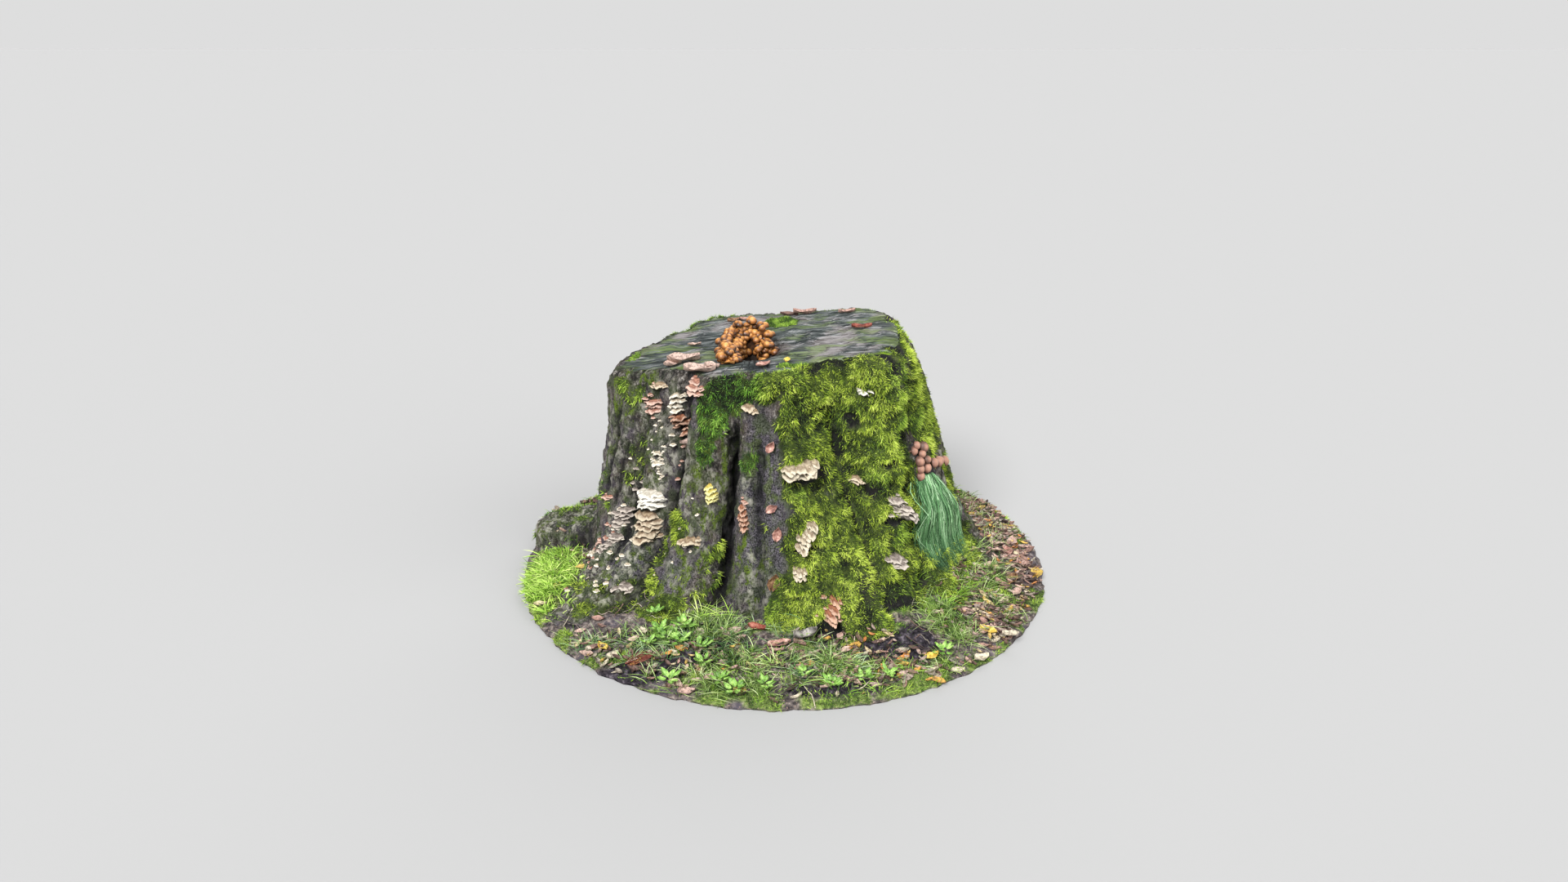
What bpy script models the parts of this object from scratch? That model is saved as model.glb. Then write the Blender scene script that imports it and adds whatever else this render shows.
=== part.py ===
"""An old broad-leaf tree stump on a round of forest floor, with its moss, bracket fungi, two troops of
small mushrooms, a hanging tuft of fine grass, grass clumps and fallen leaves.

Metres, +Z up. The origin is the middle of the round's flat underside. +Y points away from the viewer.
"""

import math
import random

import bmesh
import bpy
from mathutils import Matrix, Vector, noise
from mathutils.bvhtree import BVHTree

# The round of ground
ROUND_RADIUS = 1.005
SOIL_LEVEL = 0.045
SOIL_RIM_THICKNESS = 0.016
SOIL_MOUND = 0.035
SOIL_SPOKES = 48
SOIL_RINGS = 6
SOIL_RING_CROWDING = 0.62

# The trunk is a height-by-angle surface around this upright axis
TRUNK_AXIS = Vector((-0.06, 0.0, 0.0))
CUT_HEIGHT = 0.892
CUT_SLOPE_X = 0.125
SPOKE_SPACING = 5.0
FISSURE_SPOKES = (-1.7, -0.75, 0.0, 0.75, 1.7)
TRUNK_ROWS = 14
ROW_CROWDING = 1.5
TOP_RINGS = (0.78, 0.52)
HOLLOW_RINGS = (0.125, 0.082, 0.040)
RIM_MARGIN = 0.035
RIM_ROUNDING = 0.018

# Angle in degrees from +X, radius at the saw cut, radius at the foot, how low the foot flares out
TRUNK_OUTLINE = (
    (0, 0.495, 0.800, 1.0),
    (34, 0.525, 0.740, 1.2),
    (55, 0.450, 0.640, 1.5),
    (80, 0.410, 0.620, 1.5),
    (107, 0.470, 0.660, 1.5),
    (121, 0.510, 0.680, 1.5),
    (153, 0.490, 0.660, 1.5),
    (183, 0.560, 0.690, 1.5),
    (192, 0.582, 0.700, 1.5),
    (201, 0.520, 0.710, 1.5),
    (213, 0.430, 0.670, 1.5),
    (226, 0.400, 0.640, 1.5),
    (239, 0.435, 0.660, 1.5),
    (250, 0.400, 0.600, 1.5),
    (262, 0.395, 0.600, 1.6),
    (276, 0.440, 0.700, 1.8),
    (288, 0.410, 0.770, 2.0),
    (301, 0.390, 0.830, 2.0),
    (311, 0.450, 0.760, 1.8),
    (323, 0.545, 0.690, 1.5),
    (334, 0.530, 0.720, 1.2),
    (348, 0.505, 0.790, 1.0),
)

# Angle, half width in degrees, reach past the foot, how low the root keeps
ROOTS = (
    (214, 13, 0.36, 4.0),
    (238, 9, 0.15, 5.0),
    (296, 8, 0.09, 3.0),
    (317, 6, 0.07, 4.0),
    (331, 8, 0.25, 6.0),
    (353, 9, 0.18, 4.5),
    (24, 8, 0.22, 6.0),
    (52, 10, 0.30, 4.5),
    (86, 9, 0.14, 4.0),
    (112, 11, 0.29, 5.0),
    (141, 9, 0.17, 5.0),
)

# Angle at the cut, angle at the foot, half width in degrees, depth, lowest and highest share of the height
FISSURES = (
    (230, 222, 2.8, 0.080, 0.18, 0.99),
    (256, 251, 2.8, 0.120, 0.12, 0.80),
    (266, 268, 2.2, 0.035, 0.00, 0.75),
    (206, 212, 2.4, 0.040, 0.05, 0.90),
    (303, 305, 2.6, 0.045, 0.00, 1.00),
    (330, 324, 2.4, 0.060, 0.10, 1.05),
    (12, 10, 3.0, 0.050, 0.00, 1.00),
    (68, 70, 3.0, 0.090, 0.10, 1.02),
    (98, 99, 2.6, 0.050, 0.00, 0.80),
    (135, 128, 3.0, 0.080, 0.15, 1.02),
    (157, 153, 2.6, 0.050, 0.00, 0.95),
)

# The cut stub of a side stem, joined to the trunk by its root
STUB_ANGLE = 174.0
STUB_DISTANCE = 0.790
STUB_RADIUS = 0.145
STUB_HEIGHT = 0.155
STUB_EDGE = 0.035

# The rotten heart of the trunk
HOLLOW = Vector((-0.105, -0.100, 0.0))
HOLLOW_RADIUS = 0.062
HOLLOW_DEPTH = 0.090

# Bracket fungi: name, angle, height, width, how far they stand out, shelves, colour
PALE = (0.50, 0.43, 0.34)
TAN = (0.36, 0.25, 0.16)
PINKISH = (0.42, 0.24, 0.18)
GREYISH = (0.24, 0.19, 0.15)
BRACKETS = (
    ("bracket_left_white", 217.4, 0.408, 0.105, 0.060, 1, PALE),
    ("bracket_left_tiers", 218.8, 0.310, 0.115, 0.058, 3, TAN),
    ("bracket_rim_brown", 212.0, 0.800, 0.060, 0.035, 1, TAN),
    ("bracket_upper_pink", 211.0, 0.722, 0.060, 0.040, 1, PINKISH),
    ("bracket_upper_white", 222.5, 0.752, 0.060, 0.045, 2, PALE),
    ("bracket_crack_orange", 224.6, 0.672, 0.048, 0.050, 2, PINKISH),
    ("bracket_crust", 216.6, 0.545, 0.050, 0.026, 2, PALE),
    ("bracket_left_low_a", 206.9, 0.310, 0.070, 0.040, 2, GREYISH),
    ("bracket_left_low_b", 206.6, 0.215, 0.070, 0.040, 2, GREYISH),
    ("bracket_left_side", 199.0, 0.360, 0.055, 0.030, 1, PINKISH),
    ("bracket_root_a", 201.0, 0.150, 0.055, 0.034, 1, PALE),
    ("bracket_root_b", 221.5, 0.128, 0.070, 0.044, 1, GREYISH),
    ("bracket_middle_brown", 240.5, 0.321, 0.075, 0.044, 1, TAN),
    ("bracket_middle_yellow", 246.5, 0.480, 0.055, 0.036, 2, TAN),
    ("bracket_crevice", 260.5, 0.405, 0.055, 0.040, 2, PINKISH),
    ("bracket_top_tan", 261.9, 0.778, 0.070, 0.042, 1, TAN),
    ("bracket_moss_white", 284.9, 0.590, 0.140, 0.085, 1, PALE),
    ("bracket_moss_small", 312.0, 0.818, 0.050, 0.048, 1, PALE),
    ("bracket_moss_grey", 319.6, 0.410, 0.100, 0.070, 2, GREYISH),
    ("bracket_moss_stack", 284.1, 0.374, 0.085, 0.070, 3, PALE),
    ("bracket_moss_low_left", 280.9, 0.262, 0.085, 0.066, 1, PALE),
    ("bracket_moss_low_right", 313.1, 0.251, 0.090, 0.070, 1, GREYISH),
    ("bracket_moss_middle", 307.6, 0.519, 0.050, 0.050, 1, TAN),
    ("bracket_foot_pink", 288.2, 0.165, 0.080, 0.064, 2, PINKISH),
    ("bracket_rim_pink", 235.0, 0.830, 0.085, 0.036, 1, PINKISH),
    ("bracket_back_a", 84.0, 0.470, 0.100, 0.055, 2, PALE),
    ("bracket_back_b", 121.0, 0.330, 0.090, 0.050, 2, TAN),
    ("bracket_back_c", 38.0, 0.420, 0.080, 0.045, 1, GREYISH),
)
SHELF_POINTS = 9
TIER_STEP = 0.036

# The orange troop: x, y, height over the cut, and reach of each mound of caps
ORANGE_PATH = (
    (-0.190, -0.225, 0.042, 0.032),
    (-0.199, -0.178, 0.058, 0.038),
    (-0.201, -0.128, 0.072, 0.042),
    (-0.192, -0.078, 0.084, 0.044),
    (-0.164, -0.032, 0.096, 0.046),
    (-0.118, -0.008, 0.100, 0.046),
    (-0.076, -0.026, 0.088, 0.042),
    (-0.056, -0.072, 0.062, 0.036),
)
ORANGE_CAPS_EACH = 5
CAP_RADIUS = 0.0170
CAP_FLATNESS = 0.77

# The brown troop: angle, height, how far each cap stands out
BROWN_SPOTS = (
    (331.0, 0.587, 0.024),
    (333.2, 0.569, 0.030),
    (335.2, 0.590, 0.026),
    (331.2, 0.549, 0.028),
    (334.8, 0.545, 0.034),
    (331.0, 0.518, 0.026),
    (334.0, 0.513, 0.032),
    (338.0, 0.524, 0.030),
    (341.2, 0.508, 0.028),
    (344.2, 0.498, 0.024),
)
BROWN_CAP_RADIUS = 0.0135
BROWN_CORES = ((332.6, 0.566, 0.026), (333.0, 0.530, 0.028), (337.4, 0.518, 0.026), (341.8, 0.504, 0.020))

# The hanging tuft
TUFT_ANGLE = 333.0
TUFT_DRIFT = 4.0
TUFT_TOP = 0.440
TUFT_LENGTH = 0.320
TUFT_BLADES = 28
TUFT_BLADE_WIDTH = 0.0042
TUFT_ROOT_WIDTH = 0.040
TUFT_SPREAD = ((0.35, 0.085), (0.72, 0.100), (1.0, 0.070))
FLANK_RADIUS = 0.62
BLADE_THICKNESS = 0.0014
BLADE_TAPER = (1.0, 0.85, 0.60)

# Clumps on the ground: name, x, y, reach along x and y, blades, length, blade width, colour
GRASS_GREEN = (0.10, 0.26, 0.02)
DEEP_GREEN = (0.05, 0.15, 0.03)
LIME_GREEN = (0.17, 0.38, 0.02)
CLUMPS = (
    ("grass_left", -0.850, -0.210, 0.095, 0.170, 28, 0.080, 0.0075, LIME_GREEN),
    ("grass_front", -0.165, -0.850, 0.130, 0.070, 20, 0.065, 0.0050, GRASS_GREEN),
    ("grass_front_right", 0.130, -0.845, 0.120, 0.065, 15, 0.055, 0.0050, DEEP_GREEN),
    ("grass_middle", -0.235, -0.660, 0.080, 0.050, 14, 0.080, 0.0050, GRASS_GREEN),
    ("plants_front", -0.385, -0.690, 0.060, 0.045, 12, 0.060, 0.0140, GRASS_GREEN),
    ("grass_right", 0.560, -0.590, 0.090, 0.060, 14, 0.065, 0.0045, DEEP_GREEN),
    ("grass_back", 0.150, 0.850, 0.130, 0.070, 15, 0.065, 0.0050, GRASS_GREEN),
)
TURF_RISE = 0.010

# Fallen leaves: name, two numbers of place, heading, length, width, curl, depth of teeth, colour.
# The place is x and y on the ground and on the cut, and angle and height on the bark.
LEAF_PINK = (0.42, 0.17, 0.13)
LEAF_RED = (0.27, 0.07, 0.04)
LEAF_YELLOW = (0.55, 0.36, 0.07)
LEAF_BROWN = (0.24, 0.13, 0.07)
BARK_GREY = (0.17, 0.15, 0.13)
GROUND_LEAVES = (
    ("leaf_front_orange", -0.015, -0.745, 15, 0.078, 0.040, 0.008, 0.0, LEAF_PINK),
    ("leaf_front_red", -0.090, -0.675, -20, 0.062, 0.036, 0.008, 0.0, LEAF_RED),
    ("leaf_front_yellow", 0.480, -0.760, 35, 0.060, 0.034, 0.006, 0.0, LEAF_YELLOW),
    ("leaf_right_yellow", 0.690, -0.610, -35, 0.064, 0.038, 0.007, 0.0, LEAF_YELLOW),
    ("leaf_right_brown", 0.840, -0.270, 60, 0.075, 0.040, 0.008, 0.0, LEAF_BROWN),
    ("leaf_right_pink", 0.860, -0.060, 100, 0.068, 0.040, 0.007, 0.0, LEAF_PINK),
    ("leaf_left_yellow", -0.600, -0.700, 130, 0.050, 0.030, 0.006, 0.0, LEAF_YELLOW),
    ("leaf_back_brown", -0.420, 0.790, 20, 0.072, 0.042, 0.008, 0.0, LEAF_BROWN),
    ("bark_scrap", 0.070, -0.725, 25, 0.085, 0.046, 0.014, 0.0, BARK_GREY),
    ("dry_frond", -0.470, -0.775, 40, 0.090, 0.066, 0.004, 0.34, LEAF_RED),
)
CUT_LEAVES = (
    ("leaf_cut_tan", -0.190, 0.300, 20, 0.062, 0.036, 0.006, 0.0, LEAF_YELLOW),
    ("leaf_cut_pink", -0.070, -0.300, 35, 0.056, 0.032, 0.005, 0.0, LEAF_PINK),
    ("leaf_cut_yellow", 0.010, -0.290, 75, 0.036, 0.024, 0.004, 0.0, LEAF_YELLOW),
    ("leaf_cut_red", 0.280, 0.000, 5, 0.075, 0.038, 0.006, 0.0, LEAF_RED),
)
BARK_LEAVES = (
    ("leaf_bark_a", 271.8, 0.657, 60, 0.044, 0.028, 0.004, 0.0, LEAF_PINK),
    ("leaf_bark_b", 272.0, 0.457, 30, 0.044, 0.030, 0.004, 0.0, LEAF_PINK),
    ("leaf_bark_c", 273.9, 0.376, 80, 0.052, 0.032, 0.005, 0.0, LEAF_PINK),
    ("leaf_bark_d", 272.5, 0.221, 75, 0.064, 0.042, 0.006, 0.0, LEAF_BROWN),
)
FRONT_RADIUS = 0.50
LEAF_POINTS = 8
LEAF_THICKNESS = 0.0022

# Pieces that touch keep this gap
SEAT_GAP = 0.0006
CUTTER_DROP = 0.030


def smooth(edge_a, edge_b, value):
    """0 at edge_a, 1 at edge_b, eased at both ends."""
    t = min(max((value - edge_a) / (edge_b - edge_a), 0.0), 1.0)
    return t * t * (3.0 - 2.0 * t)


def angle_gap(a, b):
    """Signed difference of two angles in degrees, from -180 to 180."""
    return (a - b + 180.0) % 360.0 - 180.0


def ripple(x, y, z, scale):
    """Even natural roughness, about -1 to 1."""
    return noise.noise(Vector((x, y, z)) * scale)


def outline_at(angle, column):
    """Reads a column of TRUNK_OUTLINE at any angle, on a smooth closed curve through its points."""
    count = len(TRUNK_OUTLINE)
    angle %= 360.0
    after = next((i for i, row in enumerate(TRUNK_OUTLINE) if row[0] > angle), count)
    picks = [TRUNK_OUTLINE[(after + step) % count] for step in (-2, -1, 0, 1)]
    values = [row[column] for row in picks]
    span = (picks[2][0] - picks[1][0]) % 360.0
    t = ((angle - picks[1][0]) % 360.0) / span
    slope_a = 0.5 * (values[2] - values[0])
    slope_b = 0.5 * (values[3] - values[1])
    rise = values[2] - values[1]
    square = 3.0 * rise - 2.0 * slope_a - slope_b
    cube = slope_a + slope_b - 2.0 * rise
    return values[1] + t * slope_a + t**2 * square + t**3 * cube


def cut_height(x, y):
    """Height of the sloping saw cut over a point, with its weathered unevenness and the rotten heart."""
    height = CUT_HEIGHT + CUT_SLOPE_X * x + 0.010 * ripple(x, y, 0.3, 3.0) + 0.005 * ripple(x, y, 5.0, 9.0)
    gap = (Vector((x, y, 0.0)) - HOLLOW).length
    return height - HOLLOW_DEPTH * (1.0 - smooth(0.2 * HOLLOW_RADIUS, 1.7 * HOLLOW_RADIUS, gap))


def fissure_angle(fissure, share):
    """Where a fissure runs at a share of the height. It wanders a little on its way down."""
    cut_angle, foot_angle = fissure[0], fissure[1]
    return foot_angle + (cut_angle - foot_angle) * share + 1.5 * ripple(cut_angle, 0.0, share, 3.1)


def spoke_labels():
    """The angles at the cut of the trunk's columns of vertices: even, but five for each fissure."""
    labels = []
    for fissure in FISSURES:
        labels += [(fissure[0] + step * fissure[2]) % 360.0 for step in FISSURE_SPOKES]
    for i in range(int(360.0 / SPOKE_SPACING)):
        label = i * SPOKE_SPACING
        if all(abs(angle_gap(label, f[0])) > 2.6 * f[2] for f in FISSURES):
            labels.append(label)
    return sorted(labels)


def lean_of(label, share):
    """How far a column of vertices turns from its angle at the cut, so that it runs along the fissures."""
    marks = sorted((f[0], fissure_angle(f, share) - f[0]) for f in FISSURES)
    marks = [(marks[-1][0] - 360.0, marks[-1][1]), *marks, (marks[0][0] + 360.0, marks[0][1])]
    for (angle_a, lean_a), (angle_b, lean_b) in zip(marks, marks[1:]):
        if angle_a <= label <= angle_b:
            return lean_a + (lean_b - lean_a) * (label - angle_a) / (angle_b - angle_a)
    return 0.0


def trunk_radius(angle, share):
    """Distance of the trunk's face from its axis. share is the height: 0 at the foot and 1 at the cut."""
    top, foot = outline_at(angle, 1), outline_at(angle, 2)
    down = 1.0 - share
    radius = top + (foot - top) * down ** outline_at(angle, 3)
    for root_angle, half_width, reach, lowness in ROOTS:
        across = angle_gap(angle, root_angle) / half_width
        radius += reach * math.exp(-across * across) * down ** (2.0 * lowness)
    for fissure in FISSURES:
        half_width, depth, low, high = fissure[2:]
        across = angle_gap(angle, fissure_angle(fissure, share)) / half_width
        along = smooth(low - 0.12, low + 0.12, share) * (1.0 - smooth(high - 0.15, high + 0.05, share))
        radius -= depth * along * math.exp(-across * across)
    turn = math.radians(angle)
    bulge = ripple(math.cos(turn) * 2.2, math.sin(turn) * 2.2, share * 1.6, 1.6)
    radius += 0.022 * bulge * smooth(1.05, 0.75, share)
    toward = TRUNK_AXIS.x * math.cos(turn)
    to_rim = math.sqrt(toward**2 - TRUNK_AXIS.x**2 + (ROUND_RADIUS - RIM_MARGIN) ** 2) - toward
    return min(radius, to_rim)


def trunk_point(angle, share):
    """A point on the trunk's face, with the stub's root low on its left side and the cut's rounded rim."""
    turn = math.radians(angle)
    out = Vector((math.cos(turn), math.sin(turn), 0.0))
    radius = trunk_radius(angle, share)
    rim = TRUNK_AXIS + out * radius
    height = cut_height(rim.x, rim.y) * share
    across = STUB_DISTANCE * math.sin(math.radians(angle_gap(angle, STUB_ANGLE)))
    if abs(across) < STUB_RADIUS and abs(angle_gap(angle, STUB_ANGLE)) < 90.0:
        end = math.sqrt(STUB_DISTANCE**2 - across**2) + math.sqrt(STUB_RADIUS**2 - across**2)
        keep = 1.0 - smooth(STUB_HEIGHT - STUB_EDGE, STUB_HEIGHT, height)
        radius += max(end - radius, 0.0) * keep
    radius -= RIM_ROUNDING * smooth(0.965, 1.0, share)
    return TRUNK_AXIS + out * radius + Vector((0.0, 0.0, height))


def new_object(name, bm):
    """Links a bmesh as a named object with its faces pointing out."""
    bmesh.ops.recalc_face_normals(bm, faces=bm.faces)
    mesh = bpy.data.meshes.new(name)
    bm.to_mesh(mesh)
    bm.free()
    made = bpy.data.objects.new(name, mesh)
    bpy.context.scene.collection.objects.link(made)
    return made


def skin_rings(bm, rings):
    """Joins rings of vertices by triangles, so that a cutter bends along the same lines as its piece."""
    for low, high in zip(rings, rings[1:]):
        for i in range(len(low)):
            j = (i + 1) % len(low)
            bm.faces.new((low[i], low[j], high[j]))
            bm.faces.new((low[i], high[j], high[i]))


def close_with_fan(bm, ring, middle):
    """Closes a ring of vertices by triangles that meet at its middle."""
    for i, vertex in enumerate(ring):
        bm.faces.new((vertex, ring[(i + 1) % len(ring)], middle))


def trunk_mesh(name, grow=0.0, drop=0.0):
    """The trunk as one closed body. A cutter grows a little all round, and its base drops below the foot."""
    bm = bmesh.new()
    labels = spoke_labels()
    rings = []
    if drop:
        rings.append([trunk_point(a + lean_of(a, 0.0), 0.0) - Vector((0.0, 0.0, drop)) for a in labels])
    for row in range(TRUNK_ROWS + 1):
        share = (row / TRUNK_ROWS) ** ROW_CROWDING
        rings.append([trunk_point(a + lean_of(a, share), share) for a in labels])
    rim = rings[-1]
    toward = [(p - HOLLOW) * Vector((1.0, 1.0, 0.0)) for p in rim]
    inner_rings = [[HOLLOW + t * pull for t in toward] for pull in TOP_RINGS]
    inner_rings += [[HOLLOW + t.normalized() * reach for t in toward] for reach in HOLLOW_RINGS]
    for inner in inner_rings:
        rings.append([Vector((p.x, p.y, cut_height(p.x, p.y))) for p in inner])
    rows = [[bm.verts.new(p) for p in ring] for ring in rings]
    skin_rings(bm, rows)
    middle = bm.verts.new((HOLLOW.x, HOLLOW.y, cut_height(HOLLOW.x, HOLLOW.y)))
    close_with_fan(bm, rows[-1], middle)
    bm.faces.new(list(reversed(rows[0])))
    bmesh.ops.recalc_face_normals(bm, faces=bm.faces)
    bm.normal_update()
    moves = [vertex.normal * grow for vertex in bm.verts]
    for vertex, move in zip(bm.verts, moves):
        vertex.co += move
    return new_object(name, bm)


def soil_height(x, y):
    """Height of the ground: level, lumpy, banked up against the trunk and thin at the round's rim."""
    place = Vector((x, y, 0.0))
    from_axis = place - TRUNK_AXIS
    angle = math.degrees(math.atan2(from_axis.y, from_axis.x))
    from_trunk = from_axis.length - outline_at(angle, 2)
    lumps = 0.010 * ripple(x, y, 0.0, 4.0) + 0.005 * ripple(x, y, 3.0, 11.0)
    bank = SOIL_MOUND * (1.0 - smooth(-0.05, 0.22, from_trunk))
    inside = 1.0 - smooth(ROUND_RADIUS - 0.20, ROUND_RADIUS, place.length)
    return SOIL_RIM_THICKNESS + (SOIL_LEVEL - SOIL_RIM_THICKNESS + lumps + bank) * inside


def soil_mesh(name, grow=0.0):
    """The round of soil and roots, uncut. grow lifts its top."""
    bm = bmesh.new()
    spokes = [2.0 * math.pi * i / SOIL_SPOKES for i in range(SOIL_SPOKES)]
    rings = []
    for ring in range(1, SOIL_RINGS + 1):
        share = (ring / SOIL_RINGS) ** SOIL_RING_CROWDING
        row = []
        for turn in spokes:
            edge = ROUND_RADIUS + 0.012 * ripple(math.cos(turn), math.sin(turn), 0.0, 5.0)
            x, y = math.cos(turn) * edge * share, math.sin(turn) * edge * share
            row.append(bm.verts.new((x, y, soil_height(x, y) + grow)))
        rings.append(row)
    skin_rings(bm, rings)
    middle = bm.verts.new((0.0, 0.0, soil_height(0.0, 0.0) + grow))
    close_with_fan(bm, rings[0], middle)
    base = [bm.verts.new((v.co.x * 0.988, v.co.y * 0.988, 0.0)) for v in rings[-1]]
    skin_rings(bm, [rings[-1], base])
    bm.faces.new(base)
    return new_object(name, bm)


def hide(helper):
    """Marks an object as a cutter, which isn't part of the stump."""
    helper.hide_render = True
    helper.display_type = "WIRE"


def cut(target, cutters):
    """Cuts each of the cutters out of target, by exact Booleans."""
    for cutter in cutters:
        modifier = target.modifiers.new("Seat_on_" + cutter.name, "BOOLEAN")
        modifier.operation = "DIFFERENCE"
        modifier.object = cutter
        modifier.solver = "EXACT"
        hide(cutter)


def bake(obj):
    """Applies an object's modifiers and drops any scrap that a cut left beside its main body."""
    graph = bpy.context.evaluated_depsgraph_get()
    bm = bmesh.new()
    bm.from_mesh(obj.evaluated_get(graph).to_mesh())
    bodies, left = [], set(bm.faces)
    while left:
        body, edge = set(), [left.pop()]
        while edge:
            face = edge.pop()
            body.add(face)
            for other in (f for e in face.edges for f in e.link_faces if f in left):
                left.discard(other)
                edge.append(other)
        bodies.append(body)
    bodies.sort(key=lambda body: sum(f.calc_area() for f in body))
    scraps = [face for body in bodies[:-1] for face in body]
    bmesh.ops.delete(bm, geom=scraps, context="FACES")
    obj.modifiers.clear()
    bm.to_mesh(obj.data)
    bm.free()


def fuse(name, pieces, cutters, solver="MANIFOLD"):
    """Joins overlapping closed pieces to one solid, seats it against the cutters and applies both."""
    first, rest = pieces[0], pieces[1:]
    first.name = name
    if rest:
        group = bpy.data.collections.new("Joined_to_" + name)
        for piece in rest:
            group.objects.link(piece)
        modifier = first.modifiers.new("Join", "BOOLEAN")
        modifier.operation = "UNION"
        modifier.operand_type = "COLLECTION"
        modifier.collection = group
        modifier.solver = solver
    cut(first, cutters)
    bake(first)
    if rest:
        for piece in rest:
            bpy.data.objects.remove(piece)
        bpy.data.collections.remove(group)
    return first


def finish(obj, colour, roughness=0.85):
    """Gives a piece its own material and smooth shading."""
    material = bpy.data.materials.new(obj.name)
    material.use_nodes = True
    shader = material.node_tree.nodes["Principled BSDF"]
    shader.inputs["Base Color"].default_value = (*colour, 1.0)
    shader.inputs["Roughness"].default_value = roughness
    obj.data.materials.clear()
    obj.data.materials.append(material)
    obj.data.shade_smooth()
    obj.data.set_sharp_from_angle(angle=math.radians(50.0))


def surface_of(obj):
    """A tree of an object's faces, to find points on it."""
    mesh = obj.data
    points = [v.co.copy() for v in mesh.vertices]
    return BVHTree.FromPolygons(points, [tuple(p.vertices) for p in mesh.polygons])


def radial(angle):
    """Unit vector pointing away from the trunk's axis."""
    turn = math.radians(angle)
    return Vector((math.cos(turn), math.sin(turn), 0.0))


def on_bark(trunk, angle, height):
    """The outermost point of the trunk at an angle and height, and the way out of it."""
    out = radial(angle)
    start = TRUNK_AXIS + out * 2.0 + Vector((0.0, 0.0, height))
    return trunk.ray_cast(start, -out)[0], out


def on_top(tree, x, y):
    """The highest point of a surface over x and y, and the way out of it."""
    return tree.ray_cast(Vector((x, y, 2.0)), Vector((0.0, 0.0, -1.0)))[0], Vector((0.0, 0.0, 1.0))


def ball(name, centre, radii, segments=6, rings=4, spin=0.0):
    """A low-sided ellipsoid."""
    bm = bmesh.new()
    bmesh.ops.create_uvsphere(bm, u_segments=segments, v_segments=rings, radius=1.0)
    for vertex in bm.verts:
        vertex.co = Matrix.Rotation(spin, 3, "Z") @ Vector([c * r for c, r in zip(vertex.co, radii)]) + centre
    bmesh.ops.triangulate(bm, faces=bm.faces)
    return new_object(name, bm)


def cap(name, centre, radius, draw):
    """One rounded cap of a troop, a little larger or smaller than its kind."""
    radius *= draw.uniform(0.85, 1.15)
    return ball(name, centre, (radius, radius, CAP_FLATNESS * radius), spin=draw.uniform(0.0, 1.0))


def shelf(name, place, out, size, draw):
    """One shelf of a bracket fungus: a lobed plate, thick at the bark and thin at its drooping edge."""
    width, depth, thick = size
    side = out.cross(Vector((0.0, 0.0, 1.0)))
    phase = draw.uniform(0.0, 6.28)
    layers = []
    for scale, rise in ((0.60, 0.40), (1.0, 0.02)):
        layer = []
        for i in range(SHELF_POINTS):
            turn = 2.0 * math.pi * i / SHELF_POINTS
            lobe = 1.0 + 0.10 * math.sin(3.0 * turn + phase) + 0.06 * math.sin(5.0 * turn + 2.0 * phase)
            across = 0.5 * width * math.cos(turn) * lobe * scale
            away = depth * math.sin(turn) * lobe * scale
            droop = 0.16 * max(away, 0.0)
            layer.append(place + side * across + out * away + Vector((0.0, 0.0, thick * rise - droop)))
        layers.append(layer)
    bm = bmesh.new()
    rows = [[bm.verts.new(p) for p in layer] for layer in layers]
    skin_rings(bm, rows)
    close_with_fan(bm, rows[0], bm.verts.new(place + Vector((0.0, 0.0, 0.5 * thick))))
    close_with_fan(bm, rows[-1], bm.verts.new(place - Vector((0.0, 0.0, 0.5 * thick))))
    return new_object(name, bm)


def bracket(row, trunk, cutters):
    """A bracket fungus of one or more shelves on a knob that is sunk in the bark."""
    name, angle, height, width, depth, tiers, colour = row
    draw = random.Random(name)
    thick = 0.010 + 0.14 * width
    pieces = []
    for tier in range(tiers):
        level = height + TIER_STEP * (0.5 * (tiers - 1) - tier)
        place, out = on_bark(trunk, angle + (draw.uniform(-1.3, 1.3) if tier else 0.0), level)
        scale = 1.0 if tier == 0 else draw.uniform(0.72, 0.95)
        pieces.append(shelf(f"{name}_shelf", place, out, (width * scale, depth * scale, thick), draw))
    if tiers > 1:
        place, out = on_bark(trunk, angle, height)
        radii = (0.34 * width, 0.40 * depth + 0.010, 0.5 * TIER_STEP * tiers)
        pieces.append(ball(f"{name}_knob", place, radii, 6, 3, math.radians(angle - 90.0)))
    finish(fuse(name, pieces, cutters), colour)


def mound(name, feet, sizes):
    """The joined stems of a troop: a ridge along some feet, sunk in what it grows from."""
    bm = bmesh.new()
    rows = []
    for i, (foot, (tall, width)) in enumerate(zip(feet, sizes)):
        along = (feet[min(i + 1, len(feet) - 1)] - feet[max(i - 1, 0)]).normalized()
        side = along.cross(Vector((0.0, 0.0, 1.0))).normalized() * width
        section = ((-1.0, -0.3), (-0.8, 0.55), (0.0, 1.0), (0.8, 0.55), (1.0, -0.3))
        rows.append([bm.verts.new(foot + side * a + Vector((0.0, 0.0, tall * b))) for a, b in section])
    skin_rings(bm, rows)
    bm.faces.new(rows[0])
    bm.faces.new(rows[-1])
    return new_object(name, bm)


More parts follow.
